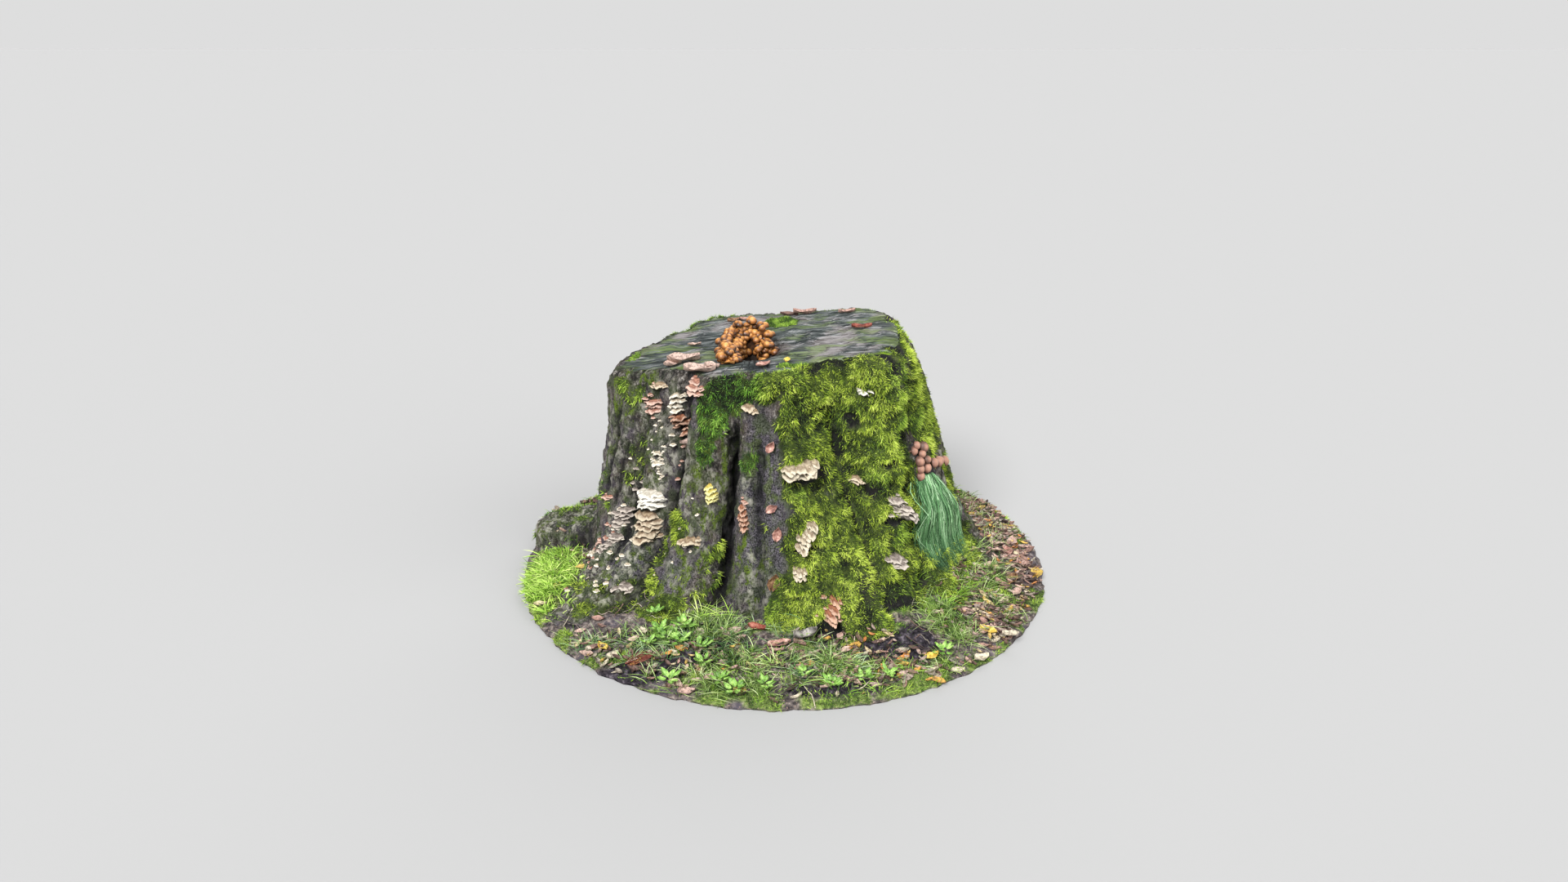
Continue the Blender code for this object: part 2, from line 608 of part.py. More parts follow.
def orange_mushrooms(trunk, cutters):
    """The troop round the rotten heart: honey-coloured caps crowded on their joined stems."""
    draw = random.Random(11)
    feet = [on_top(trunk, row[0], row[1])[0] for row in ORANGE_PATH]
    pieces = [mound("orange_stems", feet, [(0.85 * row[2], 0.62 * row[3]) for row in ORANGE_PATH])]
    for i, (foot, (_, _, tall, width)) in enumerate(zip(feet, ORANGE_PATH)):
        for k in range(ORANGE_CAPS_EACH):
            turn = 2.0 * math.pi * k / (ORANGE_CAPS_EACH - 1) + 0.9 * i
            reach = 0.0 if k == 0 else width * draw.uniform(0.66, 0.88)
            lift = tall * (0.92 if k == 0 else draw.uniform(0.40, 0.72))
            centre = foot + Vector((math.cos(turn) * reach, math.sin(turn) * reach, lift))
            pieces.append(cap("orange_cap", centre, CAP_RADIUS, draw))
    finish(fuse("mushrooms_orange", pieces, cutters), (0.52, 0.20, 0.045), 0.5)


def brown_mushrooms(trunk, cutters):
    """The small pink-brown troop on the right flank, over the tuft of grass."""
    draw = random.Random(5)
    pieces = []
    for angle, height, stand in BROWN_SPOTS:
        foot, out = on_bark(trunk, angle, height)
        pieces.append(cap("brown_cap", foot + out * stand, BROWN_CAP_RADIUS, draw))
    for angle, height, reach in BROWN_CORES:
        foot, _ = on_bark(trunk, angle, height)
        pieces.append(ball("brown_core", foot, (reach, 0.032, 0.038), 6, 4, math.radians(angle)))
    finish(fuse("mushrooms_brown", pieces, cutters), (0.36, 0.19, 0.13), 0.6)


def blade(name, points, width, thick, face):
    """A grass blade or narrow leaf: a three-sided taper along some points. face is the way it looks."""
    bm = bmesh.new()
    rows = []
    for i, point in enumerate(points[:-1]):
        along = (points[i + 1] - point).normalized()
        side = along.cross(face).normalized()
        back = side.cross(along)
        taper = BLADE_TAPER[min(i, len(BLADE_TAPER) - 1)]
        half = 0.5 * width * taper
        corners = (point - side * half, point + side * half, point - back * thick)
        rows.append([bm.verts.new(p) for p in corners])
    skin_rings(bm, rows)
    close_with_fan(bm, rows[-1], bm.verts.new(points[-1]))
    bm.faces.new(rows[0])
    return new_object(name, bm)


def grass_tuft(trunk, cutters):
    """The tuft of fine grass that hangs from the right flank like a tail."""
    draw = random.Random(3)
    root, out = on_bark(trunk, TUFT_ANGLE, TUFT_TOP)
    side = out.cross(Vector((0.0, 0.0, 1.0)))
    pieces = [ball("tuft_root", root, (0.020, 0.050, 0.026), 8, 4, math.radians(TUFT_ANGLE))]
    for i in range(TUFT_BLADES):
        spread = 2.0 * (i + 0.5) / TUFT_BLADES - 1.0
        length = TUFT_LENGTH * (1.0 - 0.45 * abs(spread) ** 1.5) * draw.uniform(0.72, 1.0)
        layer = draw.uniform(0.010, 0.034)
        rise = Vector((0.0, 0.0, draw.uniform(-0.008, 0.012)))
        points = [root + side * spread * TUFT_ROOT_WIDTH + out * 0.006 + rise]
        for share, wide in TUFT_SPREAD:
            angle = TUFT_ANGLE - math.degrees(spread * wide / FLANK_RADIUS) + TUFT_DRIFT * share
            face, away = on_bark(trunk, angle, TUFT_TOP - length * share)
            points.append(face + away * (layer * (1.25 - 0.55 * share)))
        pieces.append(blade("tuft_blade", points, TUFT_BLADE_WIDTH, BLADE_THICKNESS, out))
    finish(fuse("grass_tuft", pieces, cutters), (0.035, 0.16, 0.075), 0.6)


def ground_clump(row, ground, cutters):
    """A clump of grass or small plants: blades from a low turf that is sunk in the soil."""
    name, x, y, reach_x, reach_y, blades, length, width, colour = row
    draw = random.Random(name)
    foot, up = on_top(ground, x, y)
    pieces = [ball(name + "_turf", foot - up * 0.006, (reach_x, reach_y, TURF_RISE + 0.006), 10, 4)]
    for i in range(blades):
        turn = 2.39996 * i
        far = math.sqrt((i + 0.5) / blades) * 0.86
        spot = Vector((x + math.cos(turn) * far * reach_x, y + math.sin(turn) * far * reach_y))
        start, _ = on_top(ground, spot.x, spot.y)
        lean = Vector((math.cos(turn), math.sin(turn), 0.0)) * draw.uniform(0.25, 0.75)
        tall = length * draw.uniform(0.7, 1.1)
        points = [
            start - up * 0.002,
            start + up * 0.62 * tall + lean * 0.30 * tall,
            start + up * 0.92 * tall + lean * 0.85 * tall,
        ]
        pieces.append(blade(name + "_blade", points, width, BLADE_THICKNESS, lean.normalized()))
    finish(fuse(name, pieces, cutters), colour)


def leaf(row, spot_of, cutters):
    """A fallen leaf or scrap of bark, which follows what it lies on and curls up at its edges."""
    name, a, b, heading, length, width, curl, teeth, colour = row
    bm = bmesh.new()
    turn = math.radians(heading)
    upper, lower = [], []
    for i in range(LEAF_POINTS):
        t = 2.0 * math.pi * i / LEAF_POINTS
        reach = 1.0 - (teeth if i % 2 else 0.0)
        along = 0.5 * length * math.cos(t) * reach
        across = 0.5 * width * math.sin(t) * (1.0 - 0.35 * math.cos(t)) * reach
        lift = curl * (abs(math.sin(t)) + 0.6 * max(-math.cos(t), 0.0))
        here = Matrix.Rotation(turn, 2) @ Vector((along, across))
        point, out = spot_of(a, b, here.x, here.y)
        upper.append(bm.verts.new(point + out * (LEAF_THICKNESS + lift)))
        lower.append(bm.verts.new(point + out * (lift - 0.5 * LEAF_THICKNESS)))
    skin_rings(bm, [upper, lower])
    point, out = spot_of(a, b, 0.0, 0.0)
    close_with_fan(bm, upper, bm.verts.new(point + out * LEAF_THICKNESS))
    close_with_fan(bm, lower, bm.verts.new(point - out * LEAF_THICKNESS))
    finish(fuse(name, [new_object(name, bm)], cutters, "EXACT"), colour, 0.6)


def clear_scene():
    """Removes the startup objects."""
    for old in list(bpy.data.objects):
        bpy.data.objects.remove(old)


def main():
    clear_scene()
    stump = trunk_mesh("stump")
    trunk_cutter = trunk_mesh("trunk_cutter", SEAT_GAP, CUTTER_DROP)
    soil_cutter = soil_mesh("soil_cutter", SEAT_GAP)
    soil = soil_mesh("soil_round")
    cut(soil, [trunk_cutter])
    bake(soil)
    trunk, ground = surface_of(stump), surface_of(soil_cutter)
    cutters = [trunk_cutter, soil_cutter]

    finish(stump, (0.12, 0.10, 0.095), 0.9)
    finish(soil, (0.055, 0.045, 0.035), 0.95)
    for row in BRACKETS:
        bracket(row, trunk, cutters)
    orange_mushrooms(trunk, [trunk_cutter])
    brown_mushrooms(trunk, [trunk_cutter])
    grass_tuft(trunk, cutters)
    for row in CLUMPS:
        ground_clump(row, ground, cutters)

    def on_the_ground(x, y, dx, dy):
        return on_top(ground, x + dx, y + dy)

    def on_the_cut(x, y, dx, dy):
        return on_top(trunk, x + dx, y + dy)

    def on_the_bark(angle, height, dx, dz):
        return on_bark(trunk, angle + math.degrees(dx / FRONT_RADIUS), height + dz)

    for row in GROUND_LEAVES:
        leaf(row, on_the_ground, [soil_cutter])
    for row in CUT_LEAVES:
        leaf(row, on_the_cut, [trunk_cutter])
    for row in BARK_LEAVES:
        leaf(row, on_the_bark, [trunk_cutter])


main()
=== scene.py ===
# %% [markdown]
# # A mossy tree stump on its round of forest floor
#
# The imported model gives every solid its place. This lesson dresses those solids: it carves bark and moss
# from the stump's own skin, grows fronds and grass on it, and gives each bracket, cap and leaf a finer
# shape. Everything is in metres, with Z up, and angles are read around the trunk's axis, from +X towards
# +Y.

# %% Load the frame
import math
import bmesh
import bpy
import numpy as np
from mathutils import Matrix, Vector
from mathutils.bvhtree import BVHTree


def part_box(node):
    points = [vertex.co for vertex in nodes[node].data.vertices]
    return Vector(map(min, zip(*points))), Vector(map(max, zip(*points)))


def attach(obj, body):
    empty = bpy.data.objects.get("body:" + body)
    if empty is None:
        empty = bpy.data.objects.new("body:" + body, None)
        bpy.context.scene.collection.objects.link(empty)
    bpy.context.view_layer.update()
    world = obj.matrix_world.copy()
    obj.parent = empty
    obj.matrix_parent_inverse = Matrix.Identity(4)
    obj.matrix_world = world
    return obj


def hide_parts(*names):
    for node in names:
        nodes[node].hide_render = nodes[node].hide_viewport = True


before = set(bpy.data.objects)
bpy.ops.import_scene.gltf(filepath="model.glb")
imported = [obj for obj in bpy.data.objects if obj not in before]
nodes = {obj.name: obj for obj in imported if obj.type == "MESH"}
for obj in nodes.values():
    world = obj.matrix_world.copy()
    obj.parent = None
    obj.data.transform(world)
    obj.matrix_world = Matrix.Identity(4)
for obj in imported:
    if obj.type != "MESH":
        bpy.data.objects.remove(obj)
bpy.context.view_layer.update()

# %% [markdown]
# ## Camera, floor and light
#
# The photograph looks down on the stump by about 22 degrees, with a fairly wide lens. A camera is aimed
# by turning its -Z axis along the line of sight, and `to_track_quat` does that for any two points. The
# floor is a plain pale sheet. Three broad lamps light the object: the strongest above and to the left, a
# weaker one from the right, and a faint one from behind, which keeps the far side readable. The sky that
# the camera sees is paler than the one that gives light. So the backdrop is as light as in the
# photograph, and the crevices still stay dark and the moss keeps its relief.

# %% Camera
EYE = Vector((0.0, -3.71, 1.992))
TARGET = Vector((0.0, 0.0, 0.492))
SENSOR_WIDTH = 36.0  # mm
LENS = 24.45  # mm

camera = bpy.data.objects.new("camera", bpy.data.cameras.new("camera"))
bpy.context.collection.objects.link(camera)
camera.location = EYE
camera.rotation_mode = "QUATERNION"
camera.rotation_quaternion = (TARGET - EYE).to_track_quat("-Z", "Y")
camera.data.sensor_width = SENSOR_WIDTH
camera.data.lens = LENS
bpy.context.scene.camera = camera
print("camera looks down", round(math.degrees(math.asin((EYE - TARGET).normalized().z)), 1), "degrees")

# %% Floor
FLOOR_REACH = 60.0
FLOOR_GREY = 0.405


def grey(tone):
    return (tone, tone, tone, 1)


def pale_floor():
    mesh = bpy.data.meshes.new("floor")
    corners = [(x * FLOOR_REACH, y * FLOOR_REACH, 0) for x, y in ((-1, -1), (1, -1), (1, 1), (-1, 1))]
    mesh.from_pydata(corners, [], [(0, 1, 2, 3)])
    floor = bpy.data.objects.new("floor", mesh)
    bpy.context.collection.objects.link(floor)
    finish = bpy.data.materials.new("floor_paper")
    finish.use_nodes = True
    shader = finish.node_tree.nodes["Principled BSDF"]
    shader.inputs["Base Color"].default_value = grey(FLOOR_GREY)
    shader.inputs["Roughness"].default_value = 1.0
    shader.inputs["Specular IOR Level"].default_value = 0.0
    mesh.materials.append(finish)


pale_floor()

# %% Lamps and sky
# Each lamp is (the place that it shines from, spread in degrees, power). A wide spread softens the shadows.
LAMPS = {
    "sun_key": ((-1.3, -3.1, 3.2), 25, 4.5),
    "sun_fill": ((3.4, -2.2, 2.2), 60, 1.7),
    "sun_back": ((0.8, 3.2, 2.0), 60, 1.3),
}
SKY_GREY = 0.73
SKY_LIGHT = 0.36

for name, (place, spread, power) in LAMPS.items():
    lamp = bpy.data.objects.new(name, bpy.data.lights.new(name, "SUN"))
    lamp.data.angle = math.radians(spread)
    lamp.data.energy = power
    lamp.rotation_mode = "QUATERNION"
    lamp.rotation_quaternion = (-Vector(place)).to_track_quat("-Z", "Y")
    bpy.context.collection.objects.link(lamp)

sky = bpy.data.worlds.new("sky")
sky.use_nodes = True
sky_nodes = sky.node_tree.nodes
sky_links = sky.node_tree.links
seen = sky_nodes["Background"]
seen.inputs["Color"].default_value = grey(SKY_GREY)
lighting = sky_nodes.new("ShaderNodeBackground")
lighting.inputs["Color"].default_value = grey(SKY_LIGHT)
path_kind = sky_nodes.new("ShaderNodeLightPath")
either = sky_nodes.new("ShaderNodeMixShader")
sky_links.new(path_kind.outputs["Is Camera Ray"], either.inputs["Fac"])
sky_links.new(lighting.outputs["Background"], either.inputs[1])
sky_links.new(seen.outputs["Background"], either.inputs[2])
sky_links.new(either.outputs["Shader"], sky_nodes["World Output"].inputs["Surface"])
bpy.context.scene.world = sky
bpy.context.scene.view_settings.view_transform = "Standard"
print("lit by", len(LAMPS), "lamps and a sky of", SKY_LIGHT)

# %% [markdown]
# ## Helpers for growing things
#
# Three helpers serve the whole lesson. `field` is smooth noise that can be asked for at any set of
# points: random numbers on a lattice, blended between its corners, and summed at ever finer sizes.
# `new_piece` turns arrays of points and faces into an object that rides with the model. `spots` marks
# patches on the trunk, each an oval in angle and height with a soft edge.

# %% Noise field
SEED = 11
LATTICE_SIZE = 37
CORNERS = [(i, j, k) for i in (0, 1) for j in (0, 1) for k in (0, 1)]
FINER = 2.03  # how much finer each octave is than the last
ASIDE = 5.7  # how far its lattice is shifted, so that the octaves don't line up
CONTRAST = 1.35
chance = np.random.default_rng(SEED)
LATTICE = chance.random((LATTICE_SIZE, LATTICE_SIZE, LATTICE_SIZE))


def soft_step(low, high, value):
    """Rises smoothly from 0 at low to 1 at high, or falls where low is the larger."""
    t = np.clip((value - low) / (high - low), 0, 1)
    return t * t * (3 - 2 * t)


def field(points, size, octaves=3, shift=0.0):
    """Smooth noise from 0 to 1 at each point, with features about size metres across.

    The result has the shape of the array of points, without its last axis."""
    points = np.asarray(points, dtype=float)
    place = points.reshape(-1, 3) / size + shift
    total = np.zeros(len(place))
    weight = 1.0
    for octave in range(octaves):
        cell = np.floor(place).astype(int)
        t = soft_step(0, 1, place - cell)
        value = np.zeros(len(place))
        for corner in CORNERS:
            at = (cell + corner) % LATTICE_SIZE
            share = np.prod(np.where(corner, t, 1 - t), axis=1)
            value += share * LATTICE[at[:, 0], at[:, 1], at[:, 2]]
        total += weight * value
        weight *= 0.5
        place = place * FINER + ASIDE
    total = total / (2 - 2 * weight)
    return np.clip(0.5 + (total - 0.5) * CONTRAST, 0, 1).reshape(points.shape[:-1])


sample = field(chance.random((4000, 3)), 0.1)
print(
    "noise runs from", round(sample.min(), 2), "to", round(sample.max(), 2), "mean", round(sample.mean(), 2)
)

# %% Piece from arrays
MAP_NAME = "OFBake"


def unit(vectors):
    return vectors / np.maximum(np.linalg.norm(vectors, axis=-1, keepdims=True), 1e-9)


def new_piece(name, points, faces, finish, stands_for=(), layers=None, flat_map=None, smooth=True):
    """Makes an object from an array of points and a list of face arrays, and hangs it on the model."""
    points = np.ascontiguousarray(np.asarray(points, dtype=np.float32).reshape(-1, 3))
    groups = faces if isinstance(faces, list) else [faces]
    groups = [np.asarray(group, dtype=np.int32) for group in groups if len(group)]
    corners = np.concatenate([group.ravel() for group in groups])
    sizes = np.concatenate([np.full(len(group), group.shape[1], dtype=np.int32) for group in groups])
    starts = np.concatenate([[0], np.cumsum(sizes)[:-1]]).astype(np.int32)
    mesh = bpy.data.meshes.new(name)
    mesh.vertices.add(len(points))
    mesh.vertices.foreach_set("co", points.ravel())
    mesh.loops.add(len(corners))
    mesh.loops.foreach_set("vertex_index", corners)
    mesh.polygons.add(len(sizes))
    mesh.polygons.foreach_set("loop_start", starts)
    mesh.update(calc_edges=True)
    mesh.polygons.foreach_set("use_smooth", np.full(len(sizes), smooth))
    for layer, values in (layers or {}).items():
        spread = mesh.attributes.new(layer, "FLOAT", "POINT")
        spread.data.foreach_set("value", np.ascontiguousarray(np.asarray(values, dtype=np.float32).ravel()))
    if flat_map is not None:
        around = mesh.uv_layers.new(name=MAP_NAME)
        places = np.asarray(flat_map, dtype=np.float32).reshape(-1, 2)[corners]
        around.data.foreach_set("uv", np.ascontiguousarray(places.ravel()))
    mesh.materials.append(finish)
    piece = bpy.data.objects.new(name, mesh)
    bpy.context.collection.objects.link(piece)
    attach(piece, "root")
    if stands_for:
        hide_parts(*stands_for)
    print(name, "has", len(points), "points and", int((sizes - 2).sum()), "triangles")
    return piece


# %% [markdown]
# ## Finishes from nodes
#
# A finish is built from a few kinds of node: grain (noise read at the point on the object), a ramp that
# turns a number into a colour, a layer painted on the mesh, a mix, and a bump. These short helpers add
# them, so that each material below reads as a recipe.

# %% Node helpers
def new_finish(name, roughness=0.85, specular=0.25):
    finish = bpy.data.materials.new(name)
    finish.use_nodes = True
    shader = finish.node_tree.nodes["Principled BSDF"]
    shader.inputs["Roughness"].default_value = roughness
    shader.inputs["Specular IOR Level"].default_value = specular
    return finish, finish.node_tree, shader


def grain(tree, scale, detail=4.0, stretch=(1, 1, 1), rough=0.55):
    """Noise read at the object's own coordinates. A stretch below 1 draws the pattern out along that axis."""
    place = tree.nodes.new("ShaderNodeTexCoord")
    squeeze = tree.nodes.new("ShaderNodeMapping")
    squeeze.inputs["Scale"].default_value = stretch
    noise = tree.nodes.new("ShaderNodeTexNoise")
    noise.inputs["Scale"].default_value = scale
    noise.inputs["Detail"].default_value = detail
    noise.inputs["Roughness"].default_value = rough
    tree.links.new(place.outputs["Object"], squeeze.inputs["Vector"])
    tree.links.new(squeeze.outputs["Vector"], noise.inputs["Vector"])
    return noise.outputs["Fac"]


def layer(tree, name):
    spread = tree.nodes.new("ShaderNodeAttribute")
    spread.attribute_name = name
    return spread.outputs["Fac"]


def ramp(tree, value, stops):
    """Colour from a number: stops are (position, (red, green, blue))."""
    node = tree.nodes.new("ShaderNodeValToRGB")
    while len(node.color_ramp.elements) < len(stops):
        node.color_ramp.elements.new(0.5)
    for element, (position, colour) in zip(node.color_ramp.elements, stops):
        element.position = position
        element.color = (*colour, 1)
    tree.links.new(value, node.inputs["Fac"])
    return node.outputs["Color"]


def window(tree, value, low, high):
    """A number that rises from 0 at low to 1 at high."""
    node = tree.nodes.new("ShaderNodeMapRange")
    node.interpolation_type = "SMOOTHSTEP"
    node.inputs["From Min"].default_value = low
    node.inputs["From Max"].default_value = high
    tree.links.new(value, node.inputs["Value"])
    return node.outputs["Result"]


def sums(tree, kind, first, second):
    node = tree.nodes.new("ShaderNodeMath")
    node.operation = kind
    for socket, value in zip(node.inputs, (first, second)):
        if isinstance(value, (int, float)):
            socket.default_value = value
        else:
            tree.links.new(value, socket)
    return node.outputs["Value"]


def times(tree, first, second):
    return sums(tree, "MULTIPLY", first, second)


def plus(tree, first, second):
    return sums(tree, "ADD", first, second)


def swing(tree, value, strength):
    """A number that swings round zero instead of round a half."""
    return times(tree, sums(tree, "SUBTRACT", value, 0.5), strength)


def mixed(tree, share, first, second):
    """The first colour where the share is 0, and the second where it is 1."""
    node = tree.nodes.new("ShaderNodeMix")
    node.data_type = "RGBA"
    factor, first_socket, second_socket = node.inputs[0], node.inputs[6], node.inputs[7]
    for socket, value in ((factor, share), (first_socket, first), (second_socket, second)):
        if isinstance(value, (int, float)):
            socket.default_value = value
        elif isinstance(value, tuple):
            socket.default_value = (*value, 1)
        else:
            tree.links.new(value, socket)
    return node.outputs[2]


def veiled(tree, colour, veil, value, low, high, share):
    """Lays a second colour over the first, at most by share, where a number passes from low to high."""
    return mixed(tree, times(tree, window(tree, value, low, high), share), colour, veil)


def bumped(tree, shader, height, depth, strength=1.0):
    node = tree.nodes.new("ShaderNodeBump")
    node.inputs["Distance"].default_value = depth
    node.inputs["Strength"].default_value = strength
    tree.links.new(height, node.inputs["Height"])
    tree.links.new(node.outputs["Normal"], shader.inputs["Normal"])


def colour_in(tree, shader, colour):
    tree.links.new(colour, shader.inputs["Base Color"])


# %% [markdown]
# ## The stump's skin
#
# The solid in the frame has flat facets about 4 cm wide. Its form is right, so it is kept: a copy is
# rounded with a Subdivision Surface modifier, and a fine net of points is laid on that copy by casting
# rays at it. The rays come in and down at 45 degrees, because such a line meets the roots, the low side
# stem and the trunk once each. Along each spoke the hits are then spaced evenly, from the foot to the rim
# of the cut.

# %% Rounded copy and its profile
TRUNK_AXIS = np.array([-0.06, 0.0])
SPOKES = 560
WALL_ROWS = 136
FOOT_LEVEL = 0.02
RIM_LEVEL = 0.74
CAST_FROM = 1.5
RAY_DROPS = np.arange(1.22, -0.55, -0.008)  # how far below that height each ray of a spoke starts
FLAT_ENOUGH = 0.93  # a normal steeper than this is on the cut


def rounded_form(name, levels):
    node = nodes[name]
    shell = bmesh.new()
    shell.from_mesh(node.data)
    shell.transform(node.matrix_world)
    bmesh.ops.remove_doubles(shell, verts=shell.verts, dist=1e-5)
    mesh = bpy.data.meshes.new(name + "_rounded")
    shell.to_mesh(mesh)
    shell.free()
    copy = bpy.data.objects.new(name + "_rounded", mesh)
    bpy.context.collection.objects.link(copy)
    rounding = copy.modifiers.new("rounding", "SUBSURF")
    rounding.levels = levels
    tree = BVHTree.FromObject(copy, bpy.context.evaluated_depsgraph_get())
    bpy.data.objects.remove(copy)
    return tree


def spoke_profile(form, angle):
    """Points up one side of the trunk, from its foot to the edge of the cut."""
    out = np.array([math.cos(angle), math.sin(angle)])
    way = Vector((-out[0], -out[1], -1)).normalized()
    found = []
    for drop in RAY_DROPS:
        start = Vector((*(TRUNK_AXIS + out * CAST_FROM), CAST_FROM - drop))
        hit, normal, _, _ = form.ray_cast(start, way)
        if hit is None or hit.z < FOOT_LEVEL:
            continue
        found.append(hit[:])
        if hit.z > RIM_LEVEL and normal.z > FLAT_ENOUGH:
            break
    return np.array(found)


stump_form = rounded_form("stump", 2)
angles = np.linspace(0, 2 * math.pi, SPOKES, endpoint=False)
wall = np.empty((WALL_ROWS, SPOKES, 3))
for spoke, angle in enumerate(angles):
    line = spoke_profile(stump_form, angle)
    along = np.concatenate([[0], np.cumsum(np.linalg.norm(np.diff(line, axis=0), axis=1))])
    wanted = np.linspace(0, along[-1], WALL_ROWS)
    for axis in range(3):
        wall[:, spoke, axis] = np.interp(wanted, along, line[:, axis])
print("rim height from", round(wall[-1, :, 2].min(), 3), "to", round(wall[-1, :, 2].max(), 3))

# %% [markdown]
# ## Where moss, lichen, dark bark and painted shade lie
#
# The right of the trunk is a thick green cushion, the left is grey bark with pale crust and fungi, and
# between them runs a dark, smooth column. Some bark also carries a thin green film of algae. The patches
# are placed by angle and height on the trunk, and noise tears their edges. On the back, which the
# photograph doesn't show, noise also moves them about. How deep a point lies beside its neighbours gives
# the painted shade in the crevices, and more patches paint shade in gaps and under the brackets.

# %% Patches on the trunk
# Each patch is (angle in degrees, height, half width in degrees, half height, strength).
MOSS_PATCHES = [
    (290, 0.66, 15, 0.26, 1.0), (291, 0.30, 14, 0.26, 1.0), (302, 0.50, 20, 0.36, 1.0),
    (316, 0.62, 15, 0.30, 1.0), (319, 0.30, 15, 0.24, 1.0), (300, 0.12, 20, 0.10, 0.8),
    (344, 0.72, 14, 0.22, 0.9), (358, 0.40, 10, 0.24, 0.50), (340, 0.18, 12, 0.12, 0.8),
    (246, 0.755, 6.5, 0.09, 0.95), (243, 0.645, 3.5, 0.07, 0.8), (280, 0.14, 9, 0.12, 0.95),
    (332, 0.15, 10, 0.12, 0.9), (252, 0.81, 13, 0.060, 0.95), (268, 0.83, 8, 0.05, 0.7),
    (262, 0.60, 4, 0.08, 0.4), (201, 0.76, 5, 0.05, 0.52), (230, 0.15, 4, 0.035, 0.85),
    (238, 0.10, 5, 0.040, 0.80), (228, 0.07, 6, 0.030, 0.70), (206, 0.06, 7, 0.030, 0.65),
    (235, 0.345, 4.5, 0.055, 0.95), (244, 0.17, 8, 0.05, 0.5), (250, 0.27, 5, 0.04, 0.4),
    (222, 0.10, 12, 0.06, 0.52), (228, 0.24, 5, 0.06, 0.5), (206, 0.52, 5, 0.12, 0.4),
    (270, 0.30, 5, 0.10, 0.3), (212, 0.12, 6, 0.10, 0.45), (176, 0.12, 14, 0.12, 0.38),
    (195, 0.30, 6, 0.16, 0.42), (25, 0.50, 20, 0.34, 0.72), (62, 0.34, 18, 0.28, 0.68),
    (95, 0.62, 22, 0.26, 0.62), (140, 0.36, 19, 0.30, 0.64), (166, 0.62, 14, 0.26, 0.58),
    (118, 0.82, 24, 0.09, 0.66), (45, 0.84, 24, 0.09, 0.66), (8, 0.86, 12, 0.08, 0.8),
    (110, 0.20, 12, 0.14, 0.55), (85, 0.12, 16, 0.08, 0.62), (150, 0.10, 20, 0.07, 0.62),
    (178, 0.40, 9, 0.16, 0.50), (302, 0.89, 34, 0.07, 1.0), (345, 0.93, 16, 0.07, 0.9),
]
FILM_PATCHES = [
    (202, 0.75, 9, 0.10, 1.3), (250, 0.66, 9, 0.20, 0.9), (236, 0.36, 9, 0.14, 0.8),
    (246, 0.50, 7, 0.16, 1.1), (268, 0.55, 9, 0.14, 0.55), (212, 0.45, 9, 0.20, 0.5),
    (244, 0.18, 12, 0.12, 1.3), (222, 0.14, 14, 0.10, 0.8), (264, 0.22, 8, 0.14, 1.1),
    (176, 0.12, 12, 0.10, 0.7), (192, 0.6, 8, 0.20, 0.6), (20, 0.4, 25, 0.35, 0.7),
    (75, 0.4, 25, 0.35, 0.7), (130, 0.5, 25, 0.35, 0.7), (165, 0.4, 10, 0.3, 0.7),
]
# Crack and shade patches: painted shade in crevices, gaps and under brackets. They also sink the relief there
# and keep moss away.
CRACK_AND_SHADE_PATCHES = [
    (256, 0.62, 1.4, 0.14, 0.7), (254, 0.40, 1.8, 0.16, 0.9), (252, 0.22, 2.2, 0.12, 0.9),
    (225.5, 0.72, 1.9, 0.11, 1.5), (227, 0.55, 1.8, 0.13, 1.4), (228.5, 0.42, 1.4, 0.06, 1.0),
    (210, 0.30, 1.3, 0.16, 1.0), (198, 0.55, 1.0, 0.25, 0.9), (203, 0.44, 0.9, 0.12, 0.9),
    (213, 0.24, 1.0, 0.10, 0.8), (308, 0.905, 5, 0.012, 0.8), (296, 0.885, 4, 0.014, 0.7),
    (336.0, 0.850, 1.5, 0.090, 1.3), (333.5, 0.920, 3.0, 0.030, 1.2), (325, 0.60, 1.8, 0.06, 0.7),
    (322, 0.885, 3.0, 0.045, 1.0), (288, 0.548, 8, 0.026, 1.3), (309, 0.715, 2.4, 0.030, 1.2),
    (304, 0.620, 2.0, 0.040, 1.1), (311, 0.480, 2.2, 0.034, 1.3), (304, 0.350, 1.3, 0.090, 0.9),
    (296, 0.760, 5.0, 0.012, 1.0), (318, 0.560, 3.0, 0.014, 1.0), (317, 0.360, 5, 0.016, 1.1),
    (284, 0.320, 5, 0.012, 1.1), (300, 0.20, 3, 0.05, 0.5), (299, 0.040, 9, 0.038, 1.3),
    (287, 0.080, 4, 0.040, 1.2), (311, 0.075, 5, 0.055, 1.3),
]
LICHEN_PATCHES = [
    (218, 0.52, 5, 0.10, 1.0), (214, 0.66, 8, 0.16, 0.6), (206, 0.40, 8, 0.24, 0.6),
    (218, 0.28, 9, 0.16, 0.6), (236, 0.52, 7, 0.14, 0.7), (245, 0.42, 7, 0.16, 0.65),
    (335, 0.86, 6, 0.06, 0.8), (212, 0.16, 14, 0.12, 0.9), (224, 0.09, 6, 0.05, 1.0),
    (253.5, 0.60, 3.0, 0.07, 1.3), (180, 0.13, 9, 0.09, 1.0), (207, 0.70, 2.0, 0.07, 1.2),
    (209, 0.62, 1.6, 0.06, 1.1), (262, 0.50, 3.5, 0.12, 0.7), (266, 0.20, 6, 0.12, 0.8),
    (348, 0.36, 7, 0.18, 0.9), (238, 0.22, 10, 0.12, 0.5), (192, 0.55, 8, 0.2, 0.6),
    (75, 0.6, 14, 0.2, 0.6), (130, 0.6, 14, 0.2, 0.6), (15, 0.3, 14, 0.2, 0.5), (160, 0.3, 12, 0.2, 0.5),
]
